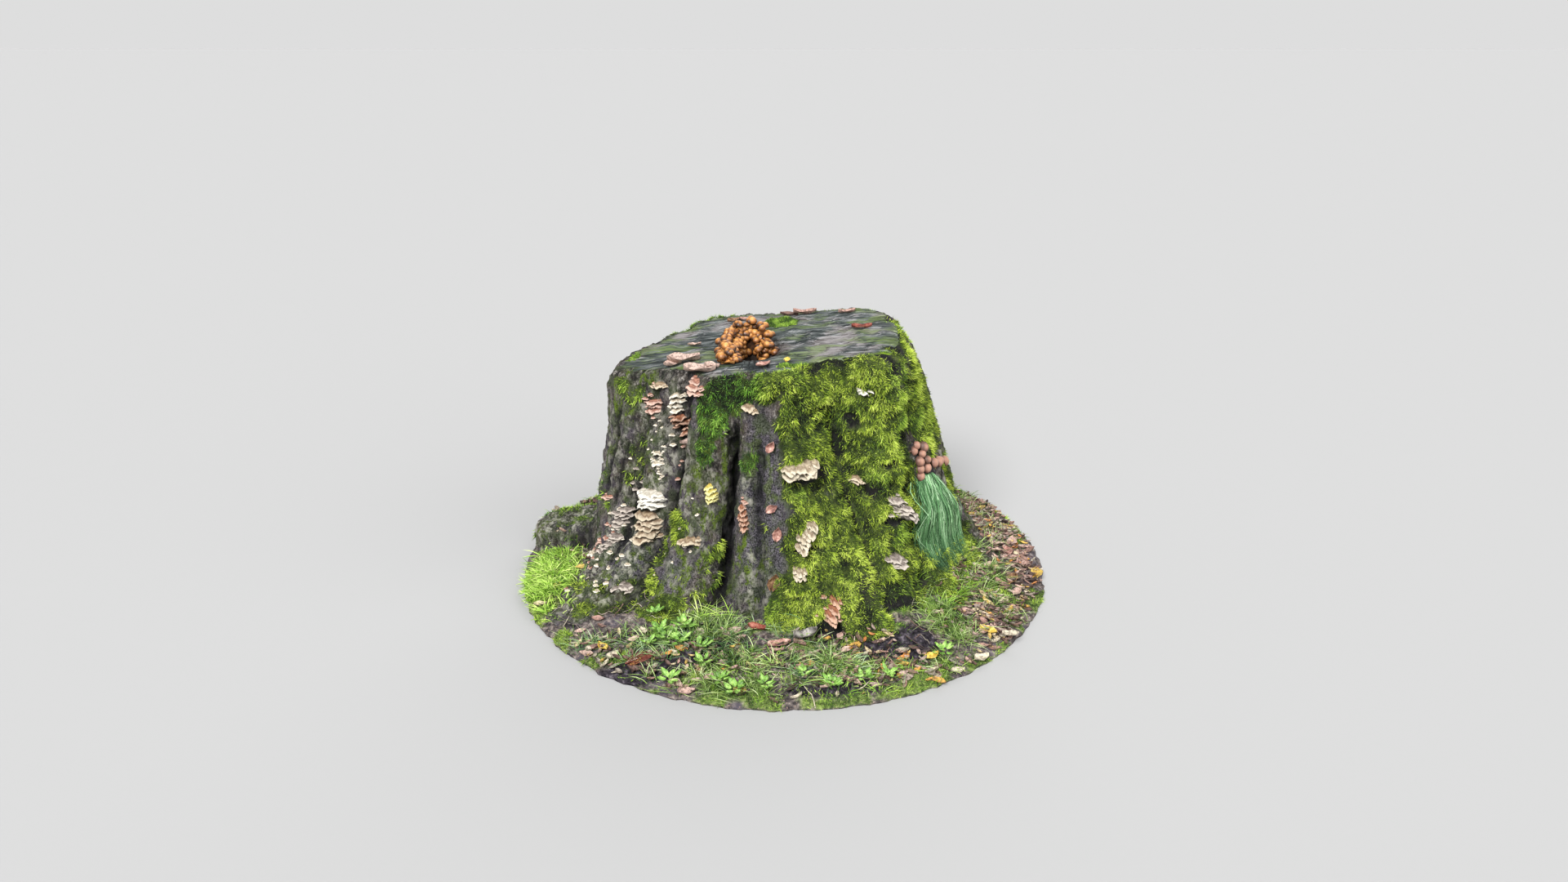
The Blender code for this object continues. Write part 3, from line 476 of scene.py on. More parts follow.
SMOOTH_PATCHES = [
    (268, 0.42, 8, 0.36, 1.0), (216, 0.19, 9, 0.07, 0.9), (238, 0.20, 6, 0.06, 0.8),
    (256, 0.3, 6, 0.25, 0.5), (322, 0.90, 4, 0.05, 1.0),
]


BACK_START = (10, 30)
BACK_END = (200, 180)
CREVICE_DEPTH = 0.028


def trunk_angle(points):
    return np.degrees(np.arctan2(points[..., 1] - TRUNK_AXIS[1], points[..., 0] - TRUNK_AXIS[0])) % 360


def spots(points, patches):
    """How strongly the patches cover each point of the trunk, from 0 to 1."""
    angle = trunk_angle(points)
    height = points[..., 2]
    cover = np.zeros(angle.shape)
    behind = soft_step(*BACK_START, angle) * soft_step(*BACK_END, angle)
    wander = (field(points, 0.13, 2, 6.9) - 0.5) * 1.5 * behind
    for centre, level, half_width, half_height, strength in patches:
        turn = (angle - centre + 180) % 360 - 180
        away = np.hypot(turn / half_width, (height - level) / half_height) + wander
        cover = np.maximum(cover, strength * soft_step(1.35, 0.75, away))
    return cover


def blurred(grid, rows, columns):
    """Mean over a window of the net. Columns wrap round the trunk."""
    result = sum(np.roll(grid, step, axis=1) for step in range(-columns, columns + 1)) / (2 * columns + 1)
    padded = np.pad(result, ((rows, rows), (0, 0)), mode="edge")
    return sum(padded[step:step + len(grid)] for step in range(2 * rows + 1)) / (2 * rows + 1)


# How far a point lies below its neighbours. The shade layer turns it into painted shade in the crevices.
reach = np.hypot(wall[..., 0] - TRUNK_AXIS[0], wall[..., 1] - TRUNK_AXIS[1])
hollowness = np.clip((blurred(reach, 1, 12) - reach) / CREVICE_DEPTH, 0, 1)
ragged = field(wall, 0.055, 4)
cover = spots(wall, MOSS_PATCHES)
moss = soft_step(0.42, 0.68, cover * 0.95 + (ragged - 0.5) * 0.95)
moss *= 1 - (0.75 - 0.45 * cover) * soft_step(0.35, 0.9, hollowness)
# Painted shade in crevices, gaps and under brackets, also sunk into the relief and kept free of moss.
dark = np.minimum(spots(wall, CRACK_AND_SHADE_PATCHES) * soft_step(0.25, 0.55, ragged), 1)
moss *= 1 - 0.9 * dark
lichen = spots(wall, LICHEN_PATCHES)
film = spots(wall, FILM_PATCHES)
smoothness = spots(wall, SMOOTH_PATCHES)
print("moss covers", round(moss.mean() * 100), "percent of the net")

# %% [markdown]
# ## Carving the bark
#
# Old bark splits into upright plates, so its noise is drawn out along Z and folded into ridges. Moss is
# softer: round cushions a hand wide with small tufts on them. On the right flank it is thinner, and lies
# closer to the bark. Each point moves along its own normal.

# %% Relief of bark and moss
PLATE_DEPTH = 0.024
PLATE_WIDTH = 0.034
SLIVER_DEPTH = 0.011
SLIVER_WIDTH = 0.013
DRAWN_OUT = [1, 1, 0.42]
CUSHION_HEIGHT = 0.052
CUSHION_WIDTH = 0.085
TUFT_HEIGHT = 0.014
TUFT_WIDTH = 0.021
CRACK_DEPTH = 0.011
THINNER_FROM = (334, 344)
THINNER_TO = (24, 12)
RIM_FADE = np.linspace(0.8, 0.35, 5)


def net_normals(net):
    across = np.roll(net, -1, axis=1) - np.roll(net, 1, axis=1)
    up = np.gradient(net, axis=0)
    return unit(np.cross(across, up))


def ridges(values):
    return 1 - np.abs(2 * values - 1)


def cushions_at(points):
    return field(points, CUSHION_WIDTH, 2, 1.7)


def tufts_at(points):
    return field(points, TUFT_WIDTH, 2, 4.4)


normals = net_normals(wall)
for smoothing in range(3):
    for axis in range(3):
        normals[..., axis] = blurred(normals[..., axis], 1, 1)
normals = unit(normals)
plates = ridges(field(wall * DRAWN_OUT, PLATE_WIDTH, 3, 3.1))
slivers = field(wall * DRAWN_OUT, SLIVER_WIDTH, 3, 8.3)
bark_relief = (plates - 0.62) * PLATE_DEPTH * (1 - 0.55 * smoothness) + (slivers - 0.5) * SLIVER_DEPTH
cushions = cushions_at(wall)
tufts = tufts_at(wall)
# Where the cushion above stands out further, the lower edge gets painted shade.
overhang = np.clip((np.roll(cushions, -4, axis=0) - cushions) * 3.0, 0, 1)
moss_relief = 0.004 + (cushions - 0.42) * CUSHION_HEIGHT + (tufts - 0.5) * TUFT_HEIGHT
flank = soft_step(*THINNER_FROM, trunk_angle(wall)) + soft_step(*THINNER_TO, trunk_angle(wall))
moss_relief = moss_relief * (1 - 0.65 * flank) - 0.008 * flank
relief = bark_relief * (1 - moss) + moss_relief * moss - CRACK_DEPTH * dark
fade = np.ones(WALL_ROWS)
fade[-len(RIM_FADE):] = RIM_FADE
skin = wall + normals * (relief * fade[:, None])[..., None]
# The shade layer is painted shade: grooves between bark plates and slivers, valleys between moss cushions and
# tufts, the lower edges of cushions, the hollows, and the crack and shade patches.
bark_shade = soft_step(0.60, 0.25, plates) * 0.5 + soft_step(0.40, 0.20, slivers) * 0.35
moss_shade = soft_step(0.45, 0.2, cushions) * 0.6 + overhang * 0.7 + soft_step(0.42, 0.2, tufts) * 0.5
shade = dark + hollowness * (0.9 - 0.55 * moss) + bark_shade * (1 - moss) + moss_shade * moss
shade = np.clip(shade, 0, 1)
print("relief from", round(relief.min() * 1000, 1), "to", round(relief.max() * 1000, 1), "mm")

# %% [markdown]
# ## Bark finish
#
# Wet bark in shade is a mix of charcoal, grey-brown and a violet cast, with pale crust and grey-green
# lichen scales. Under the fronds the moss itself tints the skin green. The painted layers steer the mix,
# and fine grain drawn out along Z breaks it up. Last, the shade layer lays painted shade, nearly black,
# over the crevices, the grooves of the bark and the valleys of the moss.

# %% Bark colours
PLATE_STOPS = [
    (0.36, (0.006, 0.006, 0.006)), (0.46, (0.052, 0.047, 0.042)), (0.54, (0.170, 0.153, 0.136)),
    (0.63, (0.520, 0.485, 0.440)),
]
SMOOTH_STOPS = [(0.37, (0.010, 0.010, 0.013)), (0.50, (0.078, 0.072, 0.090)), (0.62, (0.330, 0.300, 0.350))]
FILM_STOPS = [(0.35, (0.050, 0.080, 0.012)), (0.6, (0.170, 0.250, 0.030))]
CRUST_STOPS = [(0.40, (0.15, 0.17, 0.10)), (0.54, (0.36, 0.36, 0.28)), (0.68, (0.74, 0.70, 0.62))]
SKIN_GREEN_STOPS = [
    (0.30, (0.010, 0.018, 0.004)), (0.50, (0.060, 0.095, 0.014)), (0.68, (0.200, 0.270, 0.040))
]
VIOLET_BARK = (0.112, 0.090, 0.130)
BROWN_BARK = (0.165, 0.125, 0.095)
GREENISH_BARK = (0.105, 0.130, 0.080)
ALGAE_GREEN = (0.082, 0.115, 0.040)
PIT_BLACK = (0.009, 0.009, 0.009)
PAINTED_SHADE_BLACK = (0.006, 0.006, 0.008)
print(
    "bark is mixed from", len(PLATE_STOPS) + len(SMOOTH_STOPS), "greys and", len(CRUST_STOPS), "crust tones"
)


# %% Bark material
def bark_finish():
    finish, tree, shader = new_finish("bark_and_moss", 0.9, 0.2)
    long_grain = grain(tree, 78, 9, (1, 1, 0.52), 0.72)
    fine_grain = grain(tree, 190, 6, (1, 1, 0.9), 0.75)
    wide_grain = grain(tree, 7, 3)
    scales = grain(tree, 34, 7, (1, 1, 0.7), 0.72)
    colour = ramp(tree, long_grain, PLATE_STOPS)
    colour = veiled(tree, colour, VIOLET_BARK, wide_grain, 0.42, 0.60, 0.60)
    brown_grain = grain(tree, 15, 5, (1, 1, 0.6), 0.65)
    colour = veiled(tree, colour, BROWN_BARK, brown_grain, 0.50, 0.60, 0.40)
    colour = veiled(tree, colour, GREENISH_BARK, brown_grain, 0.46, 0.38, 0.45)
    smooth_bark = ramp(tree, fine_grain, SMOOTH_STOPS)
    colour = mixed(tree, times(tree, layer(tree, "smoothness"), 0.85), colour, smooth_bark)
    colour = veiled(tree, colour, ALGAE_GREEN, grain(tree, 16, 4), 0.45, 0.60, 0.58)
    film_grain = grain(tree, 28, 6, (1, 1, 0.6), 0.7)
    film_share = times(tree, layer(tree, "film"), window(tree, film_grain, 0.50, 0.60))
    colour = mixed(tree, film_share, colour, ramp(tree, fine_grain, FILM_STOPS))
    colour = veiled(tree, colour, PIT_BLACK, fine_grain, 0.48, 0.40, 0.85)
    crust_share = times(tree, window(tree, scales, 0.49, 0.57), times(tree, layer(tree, "lichen"), 0.80))
    colour = mixed(tree, crust_share, colour, ramp(tree, scales, CRUST_STOPS))
    colour = mixed(tree, layer(tree, "moss"), colour, ramp(tree, scales, SKIN_GREEN_STOPS))
    # Painted shade: the shade layer darkens the colour towards near-black.
    colour = mixed(tree, times(tree, layer(tree, "shade"), 0.88), colour, PAINTED_SHADE_BLACK)
    colour_in(tree, shader, colour)
    bumped(tree, shader, plus(tree, long_grain, times(tree, fine_grain, 0.5)), 0.016)
    return finish


# %% Bark piece
MAP_EDGE = 0.01


def net_faces(rows, columns, wrap=True):
    """Quads between the rows of a net, whose points are numbered row by row."""
    last = columns if wrap else columns - 1
    row, column = np.meshgrid(np.arange(rows - 1), np.arange(last), indexing="ij")
    ahead = (column + 1) % columns
    here, above = row * columns, (row + 1) * columns
    return np.stack([here + column, here + ahead, above + ahead, above + column], axis=-1).reshape(-1, 4)


def net_map(rows, columns):
    """A flat map in which the whole net lies as one square."""
    place = [np.linspace(MAP_EDGE, 1 - MAP_EDGE, count) for count in (rows, columns)]
    row, column = np.meshgrid(*place, indexing="ij")
    return np.stack([column, row], axis=-1)


def closed_net(grid):
    """The same net with its first column repeated at the end, so that a flat map can be cut there."""
    return np.concatenate([grid, grid[:, :1]], axis=1)


def round_piece(name, net, finish, stands_for, layers):
    """Makes one piece of a net that runs once round the trunk."""
    rows, columns = net.shape[:2]
    layers = {layer_name: closed_net(values) for layer_name, values in layers.items()}
    faces = net_faces(rows, columns + 1, False)
    new_piece(name, closed_net(net), faces, finish, (stands_for,), layers, net_map(rows, columns + 1))


bark_layers = {"moss": moss, "lichen": lichen, "smoothness": smoothness, "shade": shade, "film": film}
round_piece("stump_bark", skin, bark_finish(), "stump", bark_layers)

# %% [markdown]
# ## The sawn top
#
# The cut is weathered end wood: dark blue-grey, streaked with pale silver and lilac from side to side,
# green towards the rim, and rotten round the heart, where the troop of mushrooms stands. Its net runs
# from the rim to the middle of the hollow, and rays straight down find the wood.

# %% Net of the cut
HOLLOW = np.array([-0.105, -0.100])
CUT_RINGS = 46
# Each patch is (x, y, half x, half y).
CUT_MOSS = [
    (0.00, 0.20, 0.060, 0.050), (-0.56, 0.00, 0.03, 0.05), (-0.15, -0.37, 0.07, 0.025),
    (0.08, -0.390, 0.10, 0.028), (0.06, -0.335, 0.075, 0.018), (0.22, -0.355, 0.09, 0.030),
    (0.36, -0.315, 0.07, 0.030), (0.47, -0.16, 0.018, 0.10), (0.45, 0.10, 0.020, 0.10),
]
STREAK_WIDTH = 0.016
STREAK_DEPTH = 0.0035
KNOB_WIDTH = 0.07
KNOB_HEIGHT = 0.018
HEART_CRACK_DEPTH = 0.012
CUT_MOSS_HEIGHT = 0.006
PINHOLE = 0.004  # the last ring's share of the rim's size
ABOVE_ALL = 1.3


def below(form, x, y, top=ABOVE_ALL):
    """Where a ray straight down from a height meets a form, or None."""
    return form.ray_cast(Vector((x, y, top)), Vector((0, 0, -1)))[0]


rim = skin[-1]
share = np.linspace(0, 1, CUT_RINGS) ** 0.92
cut = np.empty((CUT_RINGS, SPOKES, 3))
for ring, inward in enumerate(share):
    flat = rim[:, :2] * (1 - inward) + (HOLLOW + (rim[:, :2] - HOLLOW) * PINHOLE) * inward
    for spoke in range(SPOKES):
        cut[ring, spoke] = (*flat[spoke], below(stump_form, *flat[spoke]).z)
cut_normals = np.zeros_like(cut)
cut_normals[..., 2] = 1
streaks = field(cut * [0.14, 1.0, 1.0], STREAK_WIDTH, 3, 2.2)
knobs = field(cut, KNOB_WIDTH, 3, 6.1)
from_hollow = np.hypot(cut[..., 0] - HOLLOW[0], cut[..., 1] - HOLLOW[1])
bearing = np.arctan2(cut[..., 1] - HOLLOW[1], cut[..., 0] - HOLLOW[0])
ring_place = np.stack([np.cos(bearing) * 3, np.sin(bearing) * 3, from_hollow * 0.8], axis=-1)
splits = ridges(field(ring_place, 0.42, 2, 9.2))
# Splits round the heart: carved into the wood and painted near-black inside, which is painted shade.
cracks = soft_step(0.93, 0.99, splits) * soft_step(0.27, 0.11, from_hollow) * soft_step(0.30, 0.55, knobs)
cut_moss = np.zeros(cut.shape[:2])
for x, y, half_x, half_y in CUT_MOSS:
    away = np.hypot((cut[..., 0] - x) / half_x, (cut[..., 1] - y) / half_y)
    cut_moss = np.maximum(cut_moss, soft_step(1.5, 0.5, away))
cut_moss = soft_step(0.40, 0.65, cut_moss + (knobs - 0.5) * 0.7)
lift = (streaks - 0.5) * STREAK_DEPTH + (knobs - 0.5) * KNOB_HEIGHT - cracks * HEART_CRACK_DEPTH
lift += cut_moss * CUT_MOSS_HEIGHT
edge_fade = np.clip(np.arange(CUT_RINGS) / 5, 0, 1)[:, None]
cut[..., 2] += lift * edge_fade
cut[0] = rim
cut_edge = soft_step(0.20, 0.0, share)[:, None] * np.ones(SPOKES)
heart = soft_step(0.17, 0.05, from_hollow)
print("cut spans", np.round(np.ptp(cut[..., 0]), 3), "by", np.round(np.ptp(cut[..., 1]), 3), "m")

# %% Weathered wood
WOOD_STOPS = [
    (0.36, (0.007, 0.009, 0.010)), (0.47, (0.032, 0.040, 0.040)), (0.55, (0.085, 0.098, 0.096)),
    (0.66, (0.28, 0.290, 0.290)),
]
EDGE_STOPS = [(0.38, (0.030, 0.045, 0.012)), (0.55, (0.120, 0.165, 0.045)), (0.68, (0.300, 0.370, 0.150))]
CUT_GREEN_STOPS = [(0.35, (0.035, 0.060, 0.006)), (0.6, (0.17, 0.27, 0.02))]
SILVER_WOOD = (0.52, 0.51, 0.52)
BROWN_WOOD = (0.130, 0.098, 0.092)
GREEN_WOOD = (0.135, 0.190, 0.060)
ROTTEN_WOOD = (0.022, 0.014, 0.010)
CRACK_SHADE_BLACK = (0.010, 0.009, 0.012)


def weathered_finish():
    finish, tree, shader = new_finish("weathered_wood", 0.85, 0.18)
    streak = grain(tree, 46, 8, (0.17, 1.0, 1.0), 0.70)
    thin_streak = grain(tree, 150, 6, (0.07, 1.0, 1.0), 0.6)
    wide = grain(tree, 6, 3)
    blots = grain(tree, 11, 5, (0.5, 1.0, 1.0))
    wood = ramp(tree, streak, WOOD_STOPS)
    wood = veiled(tree, wood, SILVER_WOOD, times(tree, thin_streak, wide), 0.265, 0.33, 0.65)
    wood = veiled(tree, wood, BROWN_WOOD, wide, 0.50, 0.62, 0.45)
    film_share = times(tree, window(tree, blots, 0.50, 0.60), window(tree, thin_streak, 0.40, 0.58))
    wood = mixed(tree, times(tree, film_share, 0.80), wood, GREEN_WOOD)
    edge = plus(tree, times(tree, layer(tree, "edge"), 0.55), plus(tree, blots, thin_streak))
    edge_green = ramp(tree, streak, EDGE_STOPS)
    wood = veiled(tree, wood, edge_green, edge, 1.30, 1.70, 0.75)
    wood = mixed(tree, layer(tree, "heart"), wood, ROTTEN_WOOD)
    wood = mixed(tree, layer(tree, "moss"), wood, ramp(tree, grain(tree, 70, 4), CUT_GREEN_STOPS))
    # Painted shade in the carved splits.
    wood = mixed(tree, layer(tree, "crack"), wood, CRACK_SHADE_BLACK)
    colour_in(tree, shader, wood)
    bumped(tree, shader, plus(tree, streak, thin_streak), 0.006, 0.7)
    return finish


cut_layers = {"edge": cut_edge, "heart": heart, "moss": cut_moss, "crack": cracks}
round_piece("stump_cut", cut, weathered_finish(), "stump", cut_layers)

# %% The dressed skin, for rays to meet
skin_points = np.concatenate([skin.reshape(-1, 3), cut.reshape(-1, 3)])
skin_quads = np.concatenate([net_faces(WALL_ROWS, SPOKES), net_faces(CUT_RINGS, SPOKES) + WALL_ROWS * SPOKES])
skin_tree = BVHTree.FromPolygons(skin_points.tolist(), skin_quads.tolist())
print("rays can meet", len(skin_quads), "faces of bark and wood")

# %% [markdown]
# ## Blades: one maker for moss, grass and stems
#
# Moss fronds and grass are the same thing at different sizes: a thin strip that leaves its root in one
# direction, bends, and ends in a point. Many are made at once as arrays. Each blade gets a small cell of
# its own in the flat map, so that its colour can be stored with the model.

# %% Blade maker
def map_cells(count, inside):
    """Gives each of count blades a square of the flat map, with its points at inside in it."""
    across = math.ceil(math.sqrt(count))
    cell = np.stack([np.arange(count) % across, np.arange(count) // across], axis=-1)
    return (cell.reshape(count, *[1] * (inside.ndim - 1), 2) + inside) / across


def blade_net(roots, ways, bends, lengths, widths, steps=2, taper=1.0):
    """Points, triangles, place along the blade and flat map for many tapering strips."""
    count = len(roots)
    side = unit(np.cross(ways, chance.normal(size=(count, 3))))
    rows = []
    share = []
    for step in range(steps):
        t = step / steps
        centre = roots + ways * (lengths * t)[:, None] + bends * (lengths * t * t)[:, None]
        half = side * (widths * 0.5 * (1 - t ** (1 + taper) * 0.75))[:, None]
        rows += [centre - half, centre + half]
        share += [t, t]
    rows.append(roots + ways * lengths[:, None] + bends * lengths[:, None])
    share.append(1.0)
    pattern = []
    for a in range(0, 2 * steps - 2, 2):
        pattern += [(a, a + 1, a + 3), (a, a + 3, a + 2)]
    pattern.append((2 * steps - 2, 2 * steps - 1, 2 * steps))
    faces = (np.arange(count)[:, None, None] * (2 * steps + 1) + np.array(pattern)).reshape(-1, 3)
    side_share = np.array([0, 1] * steps + [0.5])
    inside = np.stack([0.15 + 0.7 * side_share, 0.1 + 0.8 * np.array(share)], axis=-1)
    return np.stack(rows, axis=1).reshape(-1, 3), faces, np.tile(share, count), map_cells(count, inside)


def sown(net, direction, weight, count):
    """Random points on a net, denser where the weight is high, with the net's normals there."""
    def corner(grid, up, along):
        return np.roll(grid, -along, axis=1)[up:len(grid) - 1 + up]

    diagonals = corner(net, 1, 1) - corner(net, 0, 0), corner(net, 1, 0) - corner(net, 0, 1)
    area = np.linalg.norm(np.cross(*diagonals), axis=-1)
    odds = (area * corner(weight, 0, 0)).ravel()
    pick = chance.choice(len(odds), count, p=odds / odds.sum())
    u = chance.random((count, 1))
    v = chance.random((count, 1))

    def between(grid):
        here, ahead, over, above = (
            corner(grid, up, along).reshape(-1, 3)[pick] for up, along in ((0, 0), (0, 1), (1, 1), (1, 0))
        )
        return (here * (1 - u) + ahead * u) * (1 - v) + (above * (1 - u) + over * u) * v

    return between(net), unit(between(direction))


# %% [markdown]
# ## Moss fronds
#
# The cushion on the right is feather moss: fine fronds, 1 to 2 cm long, yellow-green at their tips, and
# nearly black between the tufts, which is painted shade. They stand out from the skin, lean downhill, and
# gather into tufts, which is done by pulling each frond's lean towards a slow noise. One narrow triangle
# makes a frond: at this size a bend can't be seen, and so many more of them can be sown. Tone is a painted
# layer: bright tip, with painted shade at the dark root and on fronds in the valleys of cushions and tufts.

# %% Frond finish
FROND_STOPS = [
    (0.0, (0.008, 0.018, 0.003)), (0.30, (0.055, 0.095, 0.010)), (0.50, (0.185, 0.280, 0.018)),
    (0.75, (0.430, 0.560, 0.045)), (1.0, (0.740, 0.850, 0.180)),
]
DEEP_STOPS = [
    (0.0, (0.005, 0.016, 0.004)), (0.32, (0.035, 0.110, 0.012)), (0.70, (0.140, 0.340, 0.030)),
    (1.0, (0.380, 0.620, 0.110)),
]


def frond_finish():
    finish, tree, shader = new_finish("moss_fronds", 0.8, 0.2)
    colour = ramp(tree, layer(tree, "tone"), FROND_STOPS)
    deep = ramp(tree, layer(tree, "tone"), DEEP_STOPS)
    colour_in(tree, shader, mixed(tree, layer(tree, "depth"), colour, deep))
    shader.inputs["Sheen Weight"].default_value = 0.15
    return finish


frond_green = frond_finish()
print("fronds run through", len(FROND_STOPS), "greens from root to tip")

# %% Frond maker
FROND_LENGTH = 0.0150
FROND_WIDTH = 0.0036
FROND_POINTS = 3
FROND_ROOT = 0.003  # how deep it starts in the skin
FLOOR_GAP = 0.001
DOWN = np.array([0, 0, -1.0])


def lean(points, size, shift):
    """A slow wandering direction, the same for neighbouring fronds."""
    parts = [field(points, size, 2, shift + step * 3.7) - 0.5 for step in range(3)]
    return np.stack(parts, axis=-1) * 2


def fronds(name, net, direction, weight, count, length, width, green_depth, hang=0.45):
    """Sows fronds on a net. Green_depth gives how deep a green each one has, from where it stands."""
    roots, out = sown(net, direction, weight, count)
    ways = out * 0.75 + DOWN * hang * 0.5 + lean(roots, 0.022, 2.0) * 0.7
    ways = unit(ways + chance.normal(size=(count, 3)) * 0.42)
    bends = DOWN * hang * 0.6 + chance.normal(size=(count, 3)) * 0.10
    lengths = length * (0.55 + 0.9 * chance.random(count)) * (0.6 + 0.8 * tufts_at(roots))
    widths = width * (0.7 + 0.6 * chance.random(count))
    points, faces, along, flat = blade_net(roots - out * FROND_ROOT, ways, bends, lengths, widths, 1)
    # Tone: fronds in the valleys of the cushions and tufts are darker, and so are their roots; both are
    # painted shade. The rest varies at random.
    patch = 0.45 * cushions_at(roots) + 0.55 * field(roots, 0.040, 3, 7.7)
    tuft = tufts_at(roots) * 0.6 + field(roots, 0.011, 2, 6.6) * 0.4
    tone = 0.16 + 0.42 * soft_step(0.28, 0.72, patch) + 1.20 * (tuft - 0.5) + chance.normal(size=count) * 0.19
    tone = np.clip(np.repeat(tone, FROND_POINTS) + (along - 0.4) * 0.50, 0, 1)
    depth = np.repeat(green_depth(roots), FROND_POINTS)
    points[:, 2] = np.maximum(points[:, 2], FLOOR_GAP)
    new_piece(name, points, faces, frond_green, (), {"tone": tone, "depth": depth}, flat, False)


# %% Fronds on the trunk and the cut
FRONT_ANGLES = (225, 359)


def trunk_depth(points):
    """How deep the green is: the column in the middle and the shaded hollows are a deeper green."""
    angle = trunk_angle(points)
    middle = soft_step(274, 262, angle) * (angle > 225) * soft_step(0.42, 0.55, points[:, 2])
    back = soft_step(20, 40, angle) * soft_step(215, 195, angle)
    hollows = soft_step(0.55, 0.8, field(points, 0.09, 2, 5.5))
    return np.clip(middle * 0.9 + back * 0.5 + hollows * 0.35, 0, 1)


def cut_depth(points):
    return np.full(len(points), 0.6)


wall_angle = trunk_angle(skin)
front = ((wall_angle > FRONT_ANGLES[0]) & (wall_angle < FRONT_ANGLES[1])).astype(float)
weight = moss ** 1.5 * (1 - 0.65 * shade)
back_weight = weight * (1 - front) + 1e-6
fronds("moss_front", skin, normals, weight * front, 120000, FROND_LENGTH, FROND_WIDTH, trunk_depth)
fronds("moss_back", skin, normals, back_weight, 85000, FROND_LENGTH, FROND_WIDTH, trunk_depth)
fronds("moss_cut", cut, cut_normals, cut_moss * edge_fade + 1e-6, 14000, 0.010, 0.0028, cut_depth, 0.05)

# %% [markdown]
# ## The forest floor
#
# The round of ground is thin at its edge and rises to the trunk. It is drawn as a polar net over the
# frame's own round, with lumps of humus on it and a torn rim, which sinks at the very edge. Its colour
# goes from near-black humus with a violet cast to green where low moss and grass have taken it. Some
# places are painted near-black and stay bare; beside the foot of the moss this is painted shade.

# %% Ground net
GROUND_SPOKES = 420
GROUND_RINGS = 56
GROUND_INNER = 0.30
RIM_INSET = 0.003
RIM_TEAR = 0.016
LUMP_WIDTH = 0.06
CRUMB_WIDTH = 0.014
CRUMB_HEIGHT = 0.008
RIM_ROWS = [[0.45], [0.70], [0.88]]  # how much of their height the outer three rings keep
soil_form = rounded_form("soil_round", 1)
soil_low, soil_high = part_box("soil_round")
ROUND_RADIUS = (soil_high[0] - soil_low[0]) / 2

ground_angles = np.linspace(0, 2 * math.pi, GROUND_SPOKES, endpoint=False)
ground_out = np.stack([np.cos(ground_angles), np.sin(ground_angles)], axis=-1)
edge_noise = field(np.concatenate([ground_out, np.zeros((GROUND_SPOKES, 1))], axis=1), 0.035, 3)
torn_edge = ROUND_RADIUS - RIM_INSET - RIM_TEAR * edge_noise
ground = np.zeros((GROUND_RINGS, GROUND_SPOKES, 3))
for spoke in range(GROUND_SPOKES):
    radii = np.linspace(torn_edge[spoke], GROUND_INNER, GROUND_RINGS - 2)
    last = 0.02
    for ring, radius in enumerate(radii):
        hit = below(soil_form, *(ground_out[spoke] * min(radius, ROUND_RADIUS - 0.02)), 1.0)
        last = hit.z if hit is not None else last
        ground[ring + 2, spoke] = (*(ground_out[spoke] * radius), last)
lumps = field(ground, LUMP_WIDTH, 4, 3.3)
crumbs = field(ground, CRUMB_WIDTH, 2, 1.1)
inward = soft_step(1.0, 0.72, np.hypot(ground[..., 0], ground[..., 1]))
ground[2:, :, 2] += ((lumps - 0.42) * (0.022 + 0.040 * inward) + (crumbs - 0.5) * CRUMB_HEIGHT)[2:]
ground[2:5, :, 2] *= RIM_ROWS
ground[:, :, 2] = np.maximum(ground[:, :, 2], 0.004)
ground[0] = np.concatenate([ground_out * (torn_edge[:, None] - 0.03), np.zeros((GROUND_SPOKES, 1))], axis=1)
ground[1] = ground[2] * [1, 1, 0]
ground_normals = net_normals(ground)
if ground_normals[10:, :, 2].mean() < 0:
    ground_normals = -ground_normals
print(
    "ground is", round(ROUND_RADIUS * 2, 3), "m across, and up to", round(ground[..., 2].max(), 3), "m high"
)

# %% Green places on the ground
# Each place is (x, y, half x, half y, strength).
LAWN = [(-0.88, -0.24, 0.13, 0.24, 1.0)]
GREEN_PLACES = LAWN + [
    (-0.10, -0.92, 0.44, 0.08, 0.72), (0.36, -0.86, 0.34, 0.12, 0.70), (-0.30, -0.66, 0.18, 0.10, 0.6),
    (0.05, -0.70, 0.30, 0.06, 0.55), (0.42, -0.60, 0.20, 0.12, 0.7), (-0.58, -0.76, 0.16, 0.12, 0.60),
    (-0.74, -0.64, 0.08, 0.06, 0.6), (0.72, -0.36, 0.14, 0.26, 0.65), (0.68, -0.66, 0.14, 0.12, 0.55),
    (0.90, -0.35, 0.08, 0.14, 0.4), (0.15, 0.86, 0.45, 0.16, 0.85), (-0.55, 0.76, 0.25, 0.18, 0.8),
    (0.65, 0.60, 0.24, 0.24, 0.7), (-0.88, 0.35, 0.12, 0.30, 0.8), (0.92, 0.15, 0.07, 0.25, 0.45),
]
# Places painted near-black and kept bare: the first three, beside the trunk's foot under the moss, are
# painted shade; the rest are painted darker too.
DARK_GROUND_PLACES = [
    (0.440, -0.710, 0.060, 0.080, 1.2), (0.280, -0.725, 0.140, 0.070, 1.2), (0.66, -0.50, 0.08, 0.10, 0.9),
    (-0.36, -0.80, 0.14, 0.06, 0.8), (-0.42, -0.70, 0.10, 0.05, 0.6), (-0.60, -0.66, 0.10, 0.05, 0.6),
    (0.02, -0.80, 0.14, 0.04, 0.6), (0.10, -0.93, 0.12, 0.03, 0.7), (-0.50, -0.83, 0.13, 0.05, 0.9),
    (-0.20, -0.72, 0.10, 0.04, 0.8), (0.16, -0.70, 0.11, 0.045, 1.0), (0.24, -0.90, 0.10, 0.03, 0.7),
    (0.80, -0.45, 0.05, 0.08, 0.5), (-0.72, -0.50, 0.08, 0.10, 0.5),
]


